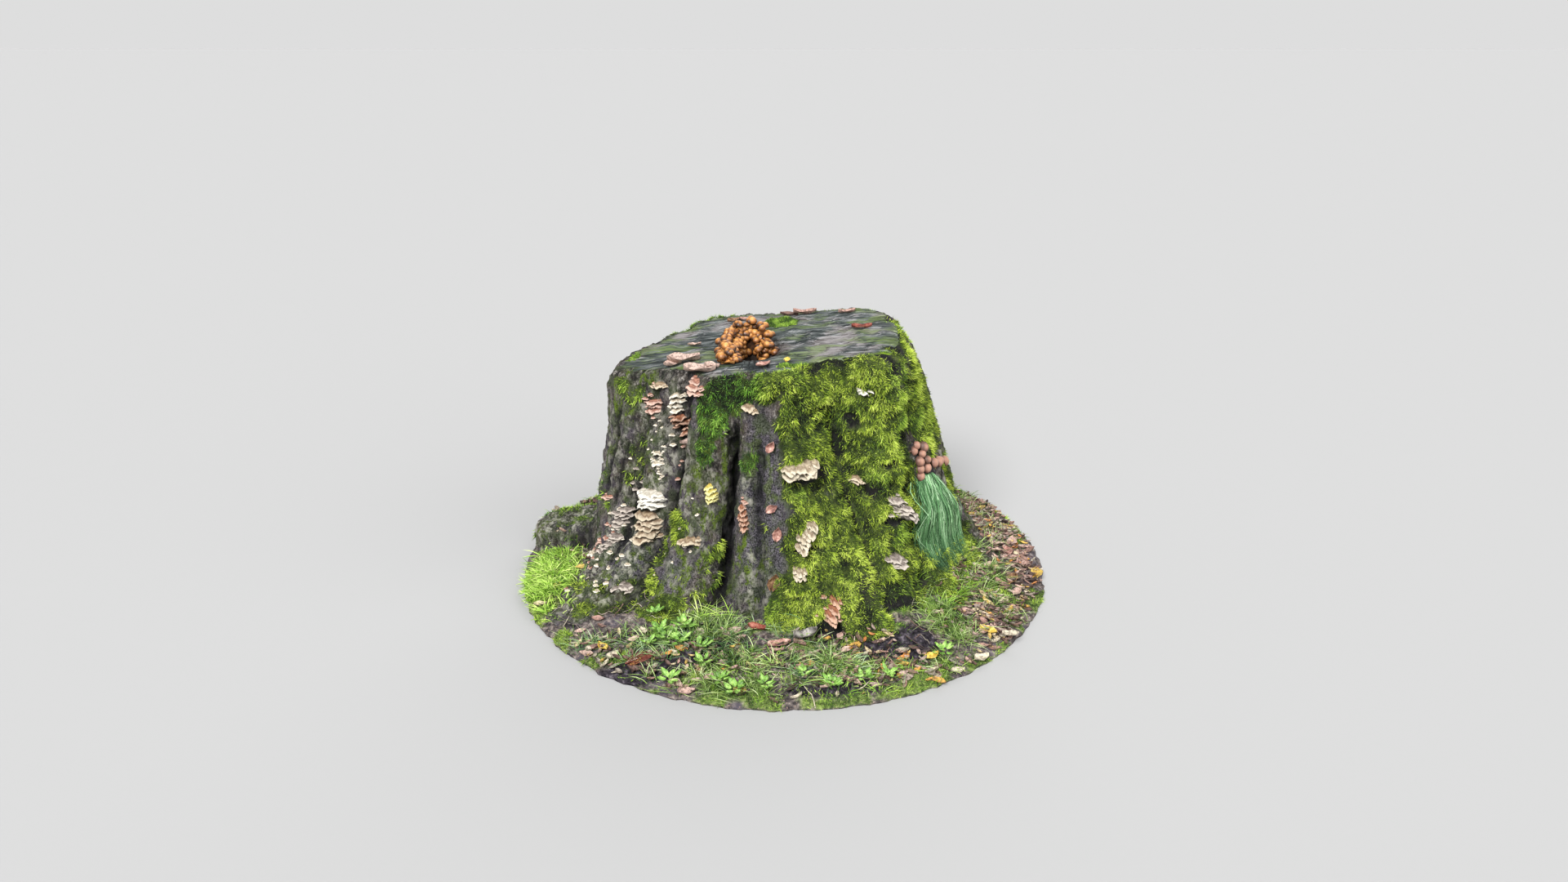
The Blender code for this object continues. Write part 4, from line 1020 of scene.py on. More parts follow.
def places(points, marks):
    cover = np.zeros(points.shape[:-1])
    for x, y, half_x, half_y, strength in marks:
        away = np.hypot((points[..., 0] - x) / half_x, (points[..., 1] - y) / half_y)
        cover = np.maximum(cover, strength * soft_step(1.5, 0.6, away))
    return cover


torn = field(ground, 0.055, 4, 8.8)
green_ground = soft_step(0.42, 0.64, places(ground, GREEN_PLACES) * 0.88 + (torn - 0.5) * 1.9)
dark_ground = soft_step(0.30, 0.70, places(ground, DARK_GROUND_PLACES) + (lumps - 0.5) * 0.6)
green_ground *= 1 - 0.85 * dark_ground
green_ground[:3] *= [[0], [0], [1]]
print("green covers", round(green_ground.mean() * 100), "percent of the ground")

# %% Forest floor
SOIL_STOPS = [
    (0.30, (0.018, 0.016, 0.018)), (0.46, (0.080, 0.068, 0.066)), (0.58, (0.185, 0.155, 0.140)),
    (0.74, (0.42, 0.36, 0.32)),
]
GROUND_GREEN_STOPS = [
    (0.30, (0.024, 0.040, 0.010)), (0.50, (0.120, 0.175, 0.040)), (0.68, (0.28, 0.36, 0.10))
]
# Near-black ramp of the dark places, painted shade beside the trunk's foot.
DARK_GROUND_STOPS = [(0.36, (0.006, 0.005, 0.007)), (0.56, (0.040, 0.034, 0.042)), (0.70, (0.150, 0.130, 0.150))]
VIOLET_SOIL = (0.100, 0.088, 0.118)
PALE_CRUMBS = (0.42, 0.29, 0.23)


def soil_finish():
    finish, tree, shader = new_finish("forest_floor", 0.95, 0.15)
    crumb = grain(tree, 60, 6)
    wide = grain(tree, 9, 4)
    speck = grain(tree, 150, 3)
    soil = ramp(tree, crumb, SOIL_STOPS)
    soil = veiled(tree, soil, VIOLET_SOIL, wide, 0.5, 0.62, 0.5)
    soil = mixed(tree, layer(tree, "green"), soil, ramp(tree, crumb, GROUND_GREEN_STOPS))
    soil = veiled(tree, soil, PALE_CRUMBS, speck, 0.60, 0.68, 0.6)
    soil = mixed(tree, layer(tree, "dark_soil"), soil, ramp(tree, crumb, DARK_GROUND_STOPS))
    colour_in(tree, shader, soil)
    bumped(tree, shader, plus(tree, crumb, speck), 0.008, 0.8)
    return finish


round_piece("ground", ground, soil_finish(), "soil_round", {"green": green_ground, "dark_soil": dark_ground})
ground_tree = BVHTree.FromPolygons(
    ground.reshape(-1, 3).tolist(), net_faces(GROUND_RINGS, GROUND_SPOKES).tolist()
)

# %% [markdown]
# ## Low moss on the ground
#
# Where the soil is green it carries the same fronds, short and upright. They are sown by the green layer,
# and thinly under the lawn, whose grass hides them. None are sown under the trunk, where nothing would
# see them.

# %% Low moss
UNDER_TRUNK = 0.45


def ground_depth(points):
    return 0.25 + 0.5 * field(points, 0.12, 2, 3.9)


open_ground = np.hypot(ground[..., 0] - TRUNK_AXIS[0], ground[..., 1]) > UNDER_TRUNK
open_ground = open_ground * (ground_normals[..., 2] > 0.2)
weight = green_ground * (1 - 0.8 * places(ground, LAWN)) * open_ground + 1e-9
fronds("moss_ground", ground, ground_normals, weight, 60000, 0.014, 0.0034, ground_depth, 0.05)

# %% [markdown]
# ## Bracket fungi
#
# A bracket is half a plate: thick where it leaves the bark, thin and wavy at its margin, ribbed in bands
# that mark its growth, paler towards the edge, and finely pored underneath, where painted shade makes it
# dark. Each is drawn as a fan of points over a half turn, top and underside, and most carry a few smaller
# lobes, as young shelves grow beside old ones. Many stand in stacks of thin shelves, one under another.
# The places are those of the solids in the frame, and each shelf is set where a ray meets the dressed bark.

# %% Places of the brackets
# Each is (angle, height, width, how far it stands out, shelves, colour).
BRACKETS = {
    "bracket_left_white": (217.4, 0.408, 0.105, 0.060, 1, "white"),
    "bracket_left_tiers": (218.8, 0.312, 0.098, 0.056, 3, "tan"),
    "bracket_rim_brown": (212.0, 0.800, 0.060, 0.035, 1, "tan"),
    "bracket_upper_pink": (211.0, 0.722, 0.060, 0.040, 1, "pink"),
    "bracket_upper_white": (222.5, 0.752, 0.060, 0.045, 2, "pale"),
    "bracket_crack_orange": (224.6, 0.672, 0.048, 0.050, 2, "rust"),
    "bracket_crust": (216.6, 0.545, 0.050, 0.026, 2, "pale"),
    "bracket_left_low_a": (206.9, 0.310, 0.070, 0.040, 2, "grey"),
    "bracket_left_low_b": (206.6, 0.215, 0.070, 0.040, 2, "grey"),
    "bracket_left_side": (199.0, 0.360, 0.055, 0.030, 1, "pink"),
    "bracket_root_a": (201.0, 0.150, 0.055, 0.034, 1, "pale"),
    "bracket_root_b": (221.5, 0.128, 0.070, 0.044, 1, "grey"),
    "bracket_middle_brown": (240.5, 0.321, 0.075, 0.044, 1, "tan"),
    "bracket_middle_yellow": (246.5, 0.480, 0.055, 0.036, 2, "yellow"),
    "bracket_crevice": (260.5, 0.405, 0.055, 0.040, 2, "rust"),
    "bracket_top_tan": (261.9, 0.778, 0.070, 0.042, 1, "tan"),
    "bracket_moss_white": (284.9, 0.590, 0.140, 0.085, 1, "cream"),
    "bracket_moss_small": (312.0, 0.818, 0.050, 0.048, 1, "white"),
    "bracket_moss_grey": (319.6, 0.410, 0.100, 0.070, 2, "grey"),
    "bracket_moss_stack": (284.1, 0.374, 0.085, 0.070, 3, "cream"),
    "bracket_moss_low_left": (280.9, 0.262, 0.085, 0.066, 1, "cream"),
    "bracket_moss_low_right": (313.1, 0.251, 0.090, 0.070, 1, "grey"),
    "bracket_moss_middle": (307.6, 0.519, 0.050, 0.050, 1, "tan"),
    "bracket_foot_pink": (288.2, 0.165, 0.080, 0.064, 2, "rust"),
    "bracket_rim_pink": (235.0, 0.830, 0.085, 0.036, 1, "pink"),
    "bracket_back_a": (84.0, 0.470, 0.100, 0.055, 2, "pale"),
    "bracket_back_b": (121.0, 0.330, 0.090, 0.050, 2, "tan"),
    "bracket_back_c": (38.0, 0.420, 0.080, 0.045, 1, "grey"),
}
TIER_STEP = 0.036
# Stacks of thin shelves: how many, step down, step sideways, and their share of the whole width.
STACKS = {
    "bracket_moss_stack": (6, 0.0135, -0.0075, 0.50),
    "bracket_moss_grey": (6, 0.0130, 0.0070, 0.48),
    "bracket_foot_pink": (4, 0.0150, -0.0080, 0.52),
    "bracket_left_low_a": (5, 0.0150, -0.0040, 0.62),
    "bracket_left_low_b": (5, 0.0150, -0.0060, 0.60),
    "bracket_left_tiers": (5, 0.0190, 0.0030, 0.85),
    "bracket_left_white": (4, 0.0120, 0.0010, 0.80),
    "bracket_moss_small": (1, 0.0120, 0.0, 0.55),
    "bracket_crack_orange": (4, 0.0200, 0.0010, 0.75),
    "bracket_upper_white": (4, 0.0170, 0.0030, 0.60),
    "bracket_crevice": (5, 0.0160, 0.0030, 0.62),
    "bracket_middle_yellow": (4, 0.0150, 0.0030, 0.65),
    "bracket_moss_low_left": (2, 0.0120, 0.0040, 0.60),
    "bracket_moss_low_right": (2, 0.0110, 0.0060, 0.70),
    "bracket_moss_white": (3, 0.0100, 0.0040, 0.80),
    "bracket_back_a": (5, 0.0170, 0.0050, 0.65),
    "bracket_rim_pink": (3, 0.0130, 0.0040, 0.85),
    "bracket_back_b": (5, 0.0160, -0.0050, 0.65),
    "bracket_upper_pink": (3, 0.0140, 0.0030, 0.70),
}
PLAIN_SHARE = 0.92  # a shelf's share of the whole width where no stack is named

# %% Colours of the brackets
# Each is a ramp from the bark to the margin.
SHELF_TONES = {
    "cream": [
        (0.00, (0.05, 0.040, 0.025)), (0.30, (0.22, 0.17, 0.110)), (0.50, (0.46, 0.38, 0.27)),
        (0.68, (0.24, 0.18, 0.12)), (0.90, (0.66, 0.58, 0.44)),
    ],
    "pale": [
        (0.00, (0.07, 0.052, 0.032)), (0.30, (0.30, 0.24, 0.160)), (0.50, (0.60, 0.53, 0.41)),
        (0.68, (0.34, 0.27, 0.19)), (0.90, (0.80, 0.75, 0.63)),
    ],
    "white": [
        (0.00, (0.12, 0.095, 0.065)), (0.30, (0.38, 0.33, 0.260)), (0.50, (0.62, 0.58, 0.50)),
        (0.68, (0.40, 0.36, 0.29)), (0.90, (0.76, 0.73, 0.65)),
    ],
    "yellow": [
        (0.00, (0.08, 0.060, 0.012)), (0.30, (0.36, 0.24, 0.040)), (0.50, (0.60, 0.50, 0.120)),
        (0.68, (0.42, 0.34, 0.070)), (0.90, (0.78, 0.74, 0.34)),
    ],
    "tan": [
        (0.00, (0.05, 0.034, 0.020)), (0.30, (0.20, 0.130, 0.075)), (0.50, (0.38, 0.29, 0.185)),
        (0.68, (0.19, 0.125, 0.080)), (0.90, (0.58, 0.49, 0.36)),
    ],
    "rust": [
        (0.00, (0.04, 0.014, 0.008)), (0.30, (0.18, 0.062, 0.030)), (0.50, (0.36, 0.155, 0.085)),
        (0.68, (0.19, 0.070, 0.036)), (0.90, (0.56, 0.36, 0.26)),
    ],
    "pink": [
        (0.00, (0.05, 0.022, 0.014)), (0.30, (0.20, 0.080, 0.050)), (0.50, (0.40, 0.200, 0.140)),
        (0.68, (0.22, 0.100, 0.070)), (0.90, (0.62, 0.43, 0.35)),
    ],
    "grey": [
        (0.00, (0.040, 0.032, 0.027)), (0.35, (0.12, 0.095, 0.080)), (0.55, (0.26, 0.22, 0.19)),
        (0.70, (0.15, 0.120, 0.105)), (0.90, (0.50, 0.44, 0.38)),
    ],
}
# Brown of the pores, darkened as painted shade under the shelves.
PORE_AND_SHADE_BROWN = (0.035, 0.026, 0.020)


def shelf_finish(tone):
    finish, tree, shader = new_finish("fungus_" + tone, 0.8, 0.25)
    wobble = grain(tree, 60, 4)
    banded = plus(tree, layer(tree, "zone"), swing(tree, wobble, 0.55))
    colour = ramp(tree, banded, SHELF_TONES[tone])
    colour = veiled(tree, colour, SHELF_TONES[tone][1][1], grain(tree, 130, 3), 0.5, 0.7, 0.35)
    # The underside is dark: pores with painted shade over them.
    pore_rim_in_shade = tuple(0.45 * part for part in SHELF_TONES[tone][3][1])
    pores_in_shade = ramp(tree, layer(tree, "zone"), [(0.0, PORE_AND_SHADE_BROWN), (1.0, pore_rim_in_shade)])
    colour = mixed(tree, layer(tree, "under"), colour, pores_in_shade)
    colour_in(tree, shader, colour)
    bumped(tree, shader, plus(tree, wobble, grain(tree, 220, 2)), 0.003, 0.7)
    return finish


shelf_tones = {tone: shelf_finish(tone) for tone in SHELF_TONES}
print("fungi come in", ", ".join(shelf_tones))

# %% Places on the dressed bark
UP = np.array([0, 0, 1.0])
STAND_OFF = 1.3


def around(angle):
    """The way out of the trunk at an angle, and the way along its side."""
    turn = math.radians(angle)
    out = np.array([math.cos(turn), math.sin(turn), 0.0])
    return out, np.array([-out[1], out[0], 0.0])


def on_skin(angle, height):
    """Where the dressed bark is, at an angle and height on the trunk."""
    out = around(angle)[0]
    start = np.array([*TRUNK_AXIS, height]) + out * STAND_OFF
    return np.array(skin_tree.ray_cast(Vector(start), Vector(-out))[0])


print("the bark at 270 degrees and 0.4 m is at", np.round(on_skin(270, 0.4), 3))

# %% One shelf
HALF_TURN = 104  # degrees, a little over a quarter turn, so that the shelf's ends reach into the bark
SKIN_THICK = 0.0012


def wavy(count, pieces, strength):
    """A ragged line of count values round zero."""
    turn = np.linspace(0, 1, count)
    line = np.zeros(count)
    for wave in (pieces, pieces * 2.3, pieces * 4.7):
        line += np.sin(turn * wave * 2 * math.pi + chance.random() * 6.28) / (1 + wave / pieces)
    return line * strength


def shelf_net(root, out, side, width, depth, thick, sectors=26, rings=8):
    """Points, quads, zone (0 at the bark, 1 at the margin) and underside (0 or 1) of one shelf."""
    turn = np.radians(np.linspace(-HALF_TURN, HALF_TURN, sectors))
    margin = 0.90 + wavy(sectors, 2.6, 0.10)
    sag = wavy(sectors, 2.1, 0.15)
    share = np.linspace(0, 1, rings) ** 0.8
    across = np.sin(turn)[None, :] * share[:, None] * margin * width / 2
    ahead = np.cos(turn)[None, :] * share[:, None] * margin * depth
    ribs = np.cos(share * 19)[:, None] * 0.035 * thick * 2
    droop = -0.22 * depth * share[:, None] ** 2 + sag * depth * share[:, None] ** 2
    top = droop + thick * 0.55 * (1 - share[:, None] ** 2.2) + ribs + SKIN_THICK
    low = droop - thick * 0.50 * (1 - share[:, None] ** 1.4) - SKIN_THICK
    flat = root + side * across[..., None] + out * ahead[..., None]
    ruffle = (field(flat, 0.011, 2, 3.0) - 0.5) * 0.55 * thick * share[:, None] ** 0.5
    top = top + ruffle * 2
    low = low + ruffle
    upper = flat + UP * top[..., None]
    under = flat + UP * low[..., None]
    points = np.concatenate([upper.reshape(-1, 3), under.reshape(-1, 3)])
    face = net_faces(rings, sectors, False)
    rim_row = np.arange((rings - 1) * sectors, rings * sectors)
    step = rings * sectors
    lip = np.stack([rim_row[:-1], rim_row[1:], rim_row[1:] + step, rim_row[:-1] + step], axis=-1)
    quads = np.concatenate([face, face[:, ::-1] + step, lip])
    zone = np.tile(np.repeat(share, sectors), 2)
    below = np.repeat([0.0, 1.0], step)
    return points, quads, zone, below


def joined(parts):
    """Many nets as one: points, quads, and any number of layers."""
    offset = 0
    faces = []
    for part in parts:
        faces.append(part[1] + offset)
        offset += len(part[0])
    points, *layers = (np.concatenate([part[i] for part in parts]) for i in range(len(parts[0])) if i != 1)
    return points, np.concatenate(faces), *layers


def shelf_piece(name, shelves, tone, stands_for=()):
    points, quads, zone, under = joined(shelves)
    new_piece(
        name, points, quads, shelf_tones[tone], stands_for, {"zone": zone, "under": under}
    )


# %% The brackets
ROOT_SINK = 0.008
LOBE_SINK = 0.006

for name, (angle, height, width, depth, tiers, tone) in BRACKETS.items():
    shelves = []
    tiers, step_down, step_aside, part = STACKS.get(name, (tiers, TIER_STEP, 0.0, PLAIN_SHARE))
    for tier in range(tiers):
        level = height + step_down * (0.5 * (tiers - 1) - tier)
        here = on_skin(angle, level)
        radius = max(float(np.linalg.norm(here[:2] - TRUNK_AXIS)), 0.2)
        aside = step_aside * (tier - 0.5 * (tiers - 1)) + chance.uniform(-0.05, 0.05) * width
        turn = angle + math.degrees(aside / radius)
        out, side = around(turn)
        root = on_skin(turn, level) - out * ROOT_SINK
        wide = width * part * chance.uniform(0.80, 1.0)
        thick = 0.005 + 0.085 * wide
        shelves.append(shelf_net(root, out, side, wide, depth * chance.uniform(0.75, 1.0) + ROOT_SINK, thick))
        for lobe in range(int(2 + 20 * wide)):
            small = chance.uniform(0.30, 0.55)
            shift = chance.choice([-1, 1]) * chance.uniform(0.15, 0.50) * wide
            lobe_turn = turn + math.degrees(shift / radius)
            out, side = around(lobe_turn)
            place = on_skin(lobe_turn, level + chance.uniform(-0.35, 0.25) * step_down) - out * LOBE_SINK
            reach = depth * small * 1.2 + 0.010
            shelves.append(shelf_net(place, out, side, wide * small, reach, thick * 0.6, 12, 5))
    shelf_piece("fine_" + name, shelves, tone, (name,))

# %% [markdown]
# ## Small shelves and crust
#
# Between the big brackets the left side is crowded with young ones, a centimetre or two across. They are
# sown along a few named lines on the bark, and joined into one piece for each colour.

# %% Young shelves
# Each run is (angle, height, half spread in degrees, half spread in height, how many, least and most width).
YOUNG_RUNS = {
    "pale": [
        (218.0, 0.52, 1.4, 0.075, 20, 0.009, 0.020), (206.0, 0.26, 4.0, 0.14, 14, 0.012, 0.026),
        (214.0, 0.15, 9.0, 0.08, 16, 0.014, 0.030), (222.5, 0.70, 1.2, 0.10, 7, 0.014, 0.026),
        (213.0, 0.62, 2.5, 0.06, 7, 0.010, 0.020), (236.0, 0.30, 8.0, 0.10, 8, 0.010, 0.020),
        (84.0, 0.42, 6.0, 0.14, 14, 0.014, 0.032),
    ],
    "pink": [
        (209.0, 0.74, 3.0, 0.07, 12, 0.014, 0.028), (203.0, 0.20, 4.0, 0.11, 22, 0.014, 0.030),
        (224.5, 0.62, 0.8, 0.10, 10, 0.012, 0.026), (260.0, 0.42, 1.0, 0.08, 8, 0.014, 0.030),
        (286.0, 0.15, 3.0, 0.03, 6, 0.016, 0.030), (121.0, 0.40, 5.0, 0.10, 12, 0.014, 0.030),
    ],
    "grey": [
        (208.0, 0.34, 3.5, 0.10, 16, 0.018, 0.036), (319.0, 0.40, 2.5, 0.04, 8, 0.018, 0.036),
        (38.0, 0.40, 4.0, 0.06, 8, 0.016, 0.034),
    ],
}
YOUNG_SINK = 0.004
LOWEST = 0.07

for tone, runs in YOUNG_RUNS.items():
    shelves = []
    for angle, height, spread, rise, count, least, most in runs:
        for number in range(count):
            turn = angle + chance.normal() * spread * 0.6
            level = max(height + chance.normal() * rise * 0.6, LOWEST)
            out, side = around(turn)
            width = chance.uniform(least, most)
            place = on_skin(turn, level) - out * YOUNG_SINK
            reach = width * chance.uniform(0.40, 0.60) + YOUNG_SINK
            shelves.append(shelf_net(place, out, side, width, reach, 0.003 + 0.10 * width, 12, 5))
    shelf_piece("young_shelves_" + tone, shelves, tone)

# %% [markdown]
# ## Mushroom troops
#
# Mushrooms in a troop press against each other, so the orange caps are laid on the troop's solid at least
# a cap's reach apart: random places are tried, and one that is too near a cap already there is passed
# over. Two hollows stay open, where the troop arches over the rotten heart. The brown ones are few enough
# to be placed one by one. Each cap, its underside and stem are one turned profile; caps are painted light
# on top and painted shade at the rim and underneath, and a near-black core fills the gaps as painted shade.

# %% One cap
# Each row is (distance from the axis, height), both as a share of the cap's radius.
CAP_PROFILE = np.array(
    [
        (0.001, 0.80), (0.32, 0.76), (0.60, 0.62), (0.83, 0.38), (0.97, 0.10), (1.00, -0.10), (0.92, -0.22),
        (0.58, -0.14), (0.22, -0.10), (0.19, -0.60), (0.24, -1.05),
    ]
)
CAP_SIDES = 14
GILL_ROW = 5  # rows after this one are underneath


def cap_net(place, axis, radius):
    """One mushroom as a turned profile round its own axis."""
    axis = axis / np.linalg.norm(axis)
    first = np.cross(axis, [0.3, 0.9, 0.1])
    first /= np.linalg.norm(first)
    second = np.cross(axis, first)
    turn = np.linspace(0, 2 * math.pi, CAP_SIDES, endpoint=False)
    wave = 1 + 0.05 * np.sin(turn * 2 + chance.random() * 6) + 0.03 * np.sin(turn * 3 + chance.random() * 6)
    ring = first * np.cos(turn)[:, None] + second * np.sin(turn)[:, None]
    points = place + radius * (
        CAP_PROFILE[:, 0, None, None] * ring * wave[:, None] + CAP_PROFILE[:, 1, None, None] * axis
    )
    rows = len(CAP_PROFILE)
    rise = np.repeat(np.clip(CAP_PROFILE[:, 0], 0, 1), CAP_SIDES)
    under = np.repeat((np.arange(rows) > GILL_ROW).astype(float), CAP_SIDES)
    return points.reshape(-1, 3), net_faces(rows, CAP_SIDES)[:, ::-1], rise, under, np.full(
        rows * CAP_SIDES, chance.random()
    )


print("a cap has", len(CAP_PROFILE), "rows of", CAP_SIDES, "points")


# %% Places for the caps
def spread_places(node, gap, tries, lowest_facing):
    """Places on a solid of the frame, none nearer than gap to another."""
    mesh = nodes[node].data
    mesh.calc_loop_triangles()
    corners = np.array([[mesh.vertices[i].co[:] for i in face.vertices] for face in mesh.loop_triangles])
    cross = np.cross(corners[:, 1] - corners[:, 0], corners[:, 2] - corners[:, 0])
    area = np.linalg.norm(cross, axis=1)
    facing = cross / np.maximum(area, 1e-12)[:, None]
    odds = area * (facing[:, 2] > lowest_facing)
    kept = []
    for pick in chance.choice(len(odds), tries, p=odds / odds.sum()):
        u, v = sorted(chance.random(2))
        point = corners[pick, 0] * u + corners[pick, 1] * (v - u) + corners[pick, 2] * (1 - v)
        if all(np.linalg.norm(point - other) > gap for other, _ in kept):
            kept.append((point, facing[pick]))
    return kept


# %% The two troops
# Cap ramps: lighter on top, a painted highlight, and near-black towards the rim, painted shade.
ORANGE_STOPS = [
    (0.0, (0.68, 0.36, 0.110)), (0.38, (0.52, 0.230, 0.058)), (0.72, (0.26, 0.095, 0.022)),
    (1.0, (0.040, 0.013, 0.004)),
]
BROWN_STOPS = [
    (0.0, (0.40, 0.250, 0.180)), (0.4, (0.42, 0.220, 0.150)), (0.75, (0.27, 0.135, 0.095)),
    (1.0, (0.10, 0.050, 0.035)),
]
# Gaps where the troop's arch is open, where the near-black core shows as painted shade: x, y, z and radius.
TROOP_HOLLOWS = [(-0.105, -0.022, 0.933, 0.010), (-0.105, -0.040, 0.880, 0.028)]
CAP_GAP = 0.0150
CAP_TRIES = 9000
CAP_RADII = (0.0128, 0.0172)
CAP_INSET = 0.006
# Each brown cap is (angle, height, how far it stands off the bark).
BROWN_SPOTS = [
    (331.0, 0.570, 0.026), (333.4, 0.554, 0.032), (331.0, 0.534, 0.030), (334.6, 0.530, 0.036),
    (331.2, 0.506, 0.028), (334.4, 0.500, 0.034), (337.6, 0.508, 0.040), (340.6, 0.500, 0.042),
    (343.6, 0.490, 0.040), (346.4, 0.478, 0.036), (331.2, 0.478, 0.026), (334.8, 0.574, 0.026),
    (332.0, 0.588, 0.020),
]
BROWN_RADII = (0.0160, 0.0205)


def cap_finish(name, stops, gloss):
    finish, tree, shader = new_finish(name, gloss, 0.5)
    tint = plus(tree, layer(tree, "rise"), swing(tree, grain(tree, 70, 3), 0.5))
    tint = plus(tree, tint, swing(tree, layer(tree, "vary"), 0.45))
    colour = ramp(tree, tint, stops)
    # The underside is darkened as painted shade.
    colour = mixed(tree, layer(tree, "under"), colour, tuple(0.30 * part for part in stops[1][1]))
    colour_in(tree, shader, colour)
    bumped(tree, shader, grain(tree, 160, 3), 0.002, 0.5)
    shader.inputs["Subsurface Weight"].default_value = 0.08
    shader.inputs["Subsurface Radius"].default_value = (0.010, 0.004, 0.002)
    return finish


def cap_piece(name, caps, finish, stands_for):
    points, quads, rise, under, vary = joined(caps)
    new_piece(name, points, quads, finish, (stands_for,), {"rise": rise, "under": under, "vary": vary})


caps = []
for place, facing in spread_places("mushrooms_orange", CAP_GAP, CAP_TRIES, -0.3):
    if any(np.linalg.norm(place - np.array(hollow)) < radius for *hollow, radius in TROOP_HOLLOWS):
        continue
    axis = facing * 0.55 + UP * 0.75
    caps.append(cap_net(place - facing * CAP_INSET, axis, chance.uniform(*CAP_RADII)))
print("orange caps:", len(caps))
orange = cap_finish("caps_orange", ORANGE_STOPS, 0.42)
cap_piece("caps_orange_troop", caps, orange, "mushrooms_orange")

caps = []
for angle, height, stand in BROWN_SPOTS:
    out, side = around(angle)
    axis = out * 0.9 + UP * 0.35 + side * chance.uniform(-0.3, 0.3)
    caps.append(cap_net(on_skin(angle, height) + out * stand * 0.5, axis, chance.uniform(*BROWN_RADII)))
cap_piece(
    "caps_brown_troop", caps, cap_finish("caps_brown", BROWN_STOPS, 0.55), "mushrooms_brown"
)

# %% Near-black core under the orange caps, painted shade
CORE_INSET = 0.007
SHADE_CORE_STOPS = [(0.35, (0.010, 0.005, 0.003)), (0.65, (0.055, 0.022, 0.008))]


def core_of(node):
    shell = bmesh.new()
    shell.from_mesh(nodes[node].data)
    bmesh.ops.remove_doubles(shell, verts=shell.verts, dist=1e-5)
    shell.normal_update()
    points = np.array([vert.co[:] for vert in shell.verts])
    points -= np.array([vert.normal[:] for vert in shell.verts]) * CORE_INSET
    faces = np.array([[vert.index for vert in face.verts] for face in shell.faces])
    shell.free()
    return points, faces


def shade_core_finish():
    finish, tree, shader = new_finish("painted_shade_core", 0.9, 0.2)
    colour_in(tree, shader, ramp(tree, grain(tree, 90, 4), SHADE_CORE_STOPS))
    bumped(tree, shader, grain(tree, 140, 3), 0.004, 0.8)
    return finish


# The shrunk copy of the troop's solid is near-black: painted shade between the caps.
core_points, core_faces = core_of("mushrooms_orange")
new_piece("caps_orange_shade_core", core_points, core_faces, shade_core_finish())

# %% [markdown]
# ## The hanging tuft
#
# Fine grass hangs down the right flank like combed hair, from under the brown mushrooms to the foot,
# widest two thirds of the way down. Each blade follows the tuft's outline at its own share of the width
# and its own depth, so the tuft is full and its strands run together.

# %% Tuft of fine grass
TUFT_ANGLE = 333.0
TUFT_DRIFT = 5.0
TUFT_TOP = 0.480
TUFT_LENGTH = 0.365
TUFT_HALF_WIDTHS = ((0.0, 0.018), (0.18, 0.058), (0.45, 0.096), (0.72, 0.110), (1.0, 0.075))
TUFT_BLADES = 2600
TUFT_STEPS = 8
TUFT_LOWEST = 0.075
BLADE_WIDTHS = (0.0013, 0.0026)
FLANK_RADIUS = 0.62


def tuft_net():
    """Paths of the blades down the flank, their widths, and how deep in the tuft each one lies."""
    place = chance.uniform(-1, 1, TUFT_BLADES)
    depth = chance.random(TUFT_BLADES)
    length = 0.62 + 0.38 * chance.random(TUFT_BLADES) ** 0.6
    start = np.maximum(chance.normal(size=TUFT_BLADES) * 0.02, 0) + 0.05 * np.abs(place) ** 2
    wander = chance.normal(size=(TUFT_BLADES, 2)) * 0.012
    width = chance.uniform(*BLADE_WIDTHS, TUFT_BLADES)
    path = np.empty((TUFT_BLADES, TUFT_STEPS + 1, 3))
    for step in range(TUFT_STEPS + 1):
        t = start + (length - start) * step / TUFT_STEPS
        half = np.interp(t, *zip(*TUFT_HALF_WIDTHS))
        aside = place * half + wander[:, 0] * np.sin(t * 7 + wander[:, 1] * 400)
        angle = TUFT_ANGLE + TUFT_DRIFT * t + np.degrees(aside / FLANK_RADIUS)
        height = TUFT_TOP - TUFT_LENGTH * t
        bulge = 0.006 + (0.010 + 0.034 * depth) * np.sin(np.clip(t * 1.15 + 0.12, 0, 1) * math.pi) ** 0.7
        for blade in range(TUFT_BLADES):
            out = around(angle[blade])[0]
            path[blade, step] = on_skin(angle[blade], max(height[blade], TUFT_LOWEST)) + out * bulge[blade]
            path[blade, step, 2] = height[blade]
    smooth_path = path.copy()
    smooth_path[:, 1:-1] = (path[:, :-2] + path[:, 1:-1] * 2 + path[:, 2:]) / 4
    return smooth_path, width, depth


def ribbon_net(path, width, side):
    """Strips along many paths at once, of paths' own width at the root and pointed at the end."""
    count, steps = path.shape[:2]
    share = np.linspace(0, 1, steps)
    half = (width[:, None] * 0.5 * np.clip(1.02 - share ** 3, 0.06, 1))[..., None] * side
    points = np.stack([path - half, path + half], axis=2)
    index = np.arange(count)[:, None] * steps * 2 + np.arange(steps - 1) * 2
    quads = np.stack([index, index + 1, index + 3, index + 2], axis=-1).reshape(-1, 4)
    along = 0.05 + 0.9 * share[:, None]
    inside = np.stack(np.broadcast_arrays([0.2, 0.8], along), axis=-1)
    return points.reshape(-1, 3), quads, np.tile(np.repeat(share, 2), count), map_cells(count, inside)


def grass_finish(name, stops):
    finish, tree, shader = new_finish(name, 0.55, 0.35)
    colour_in(tree, shader, ramp(tree, layer(tree, "tone"), stops))
    return finish


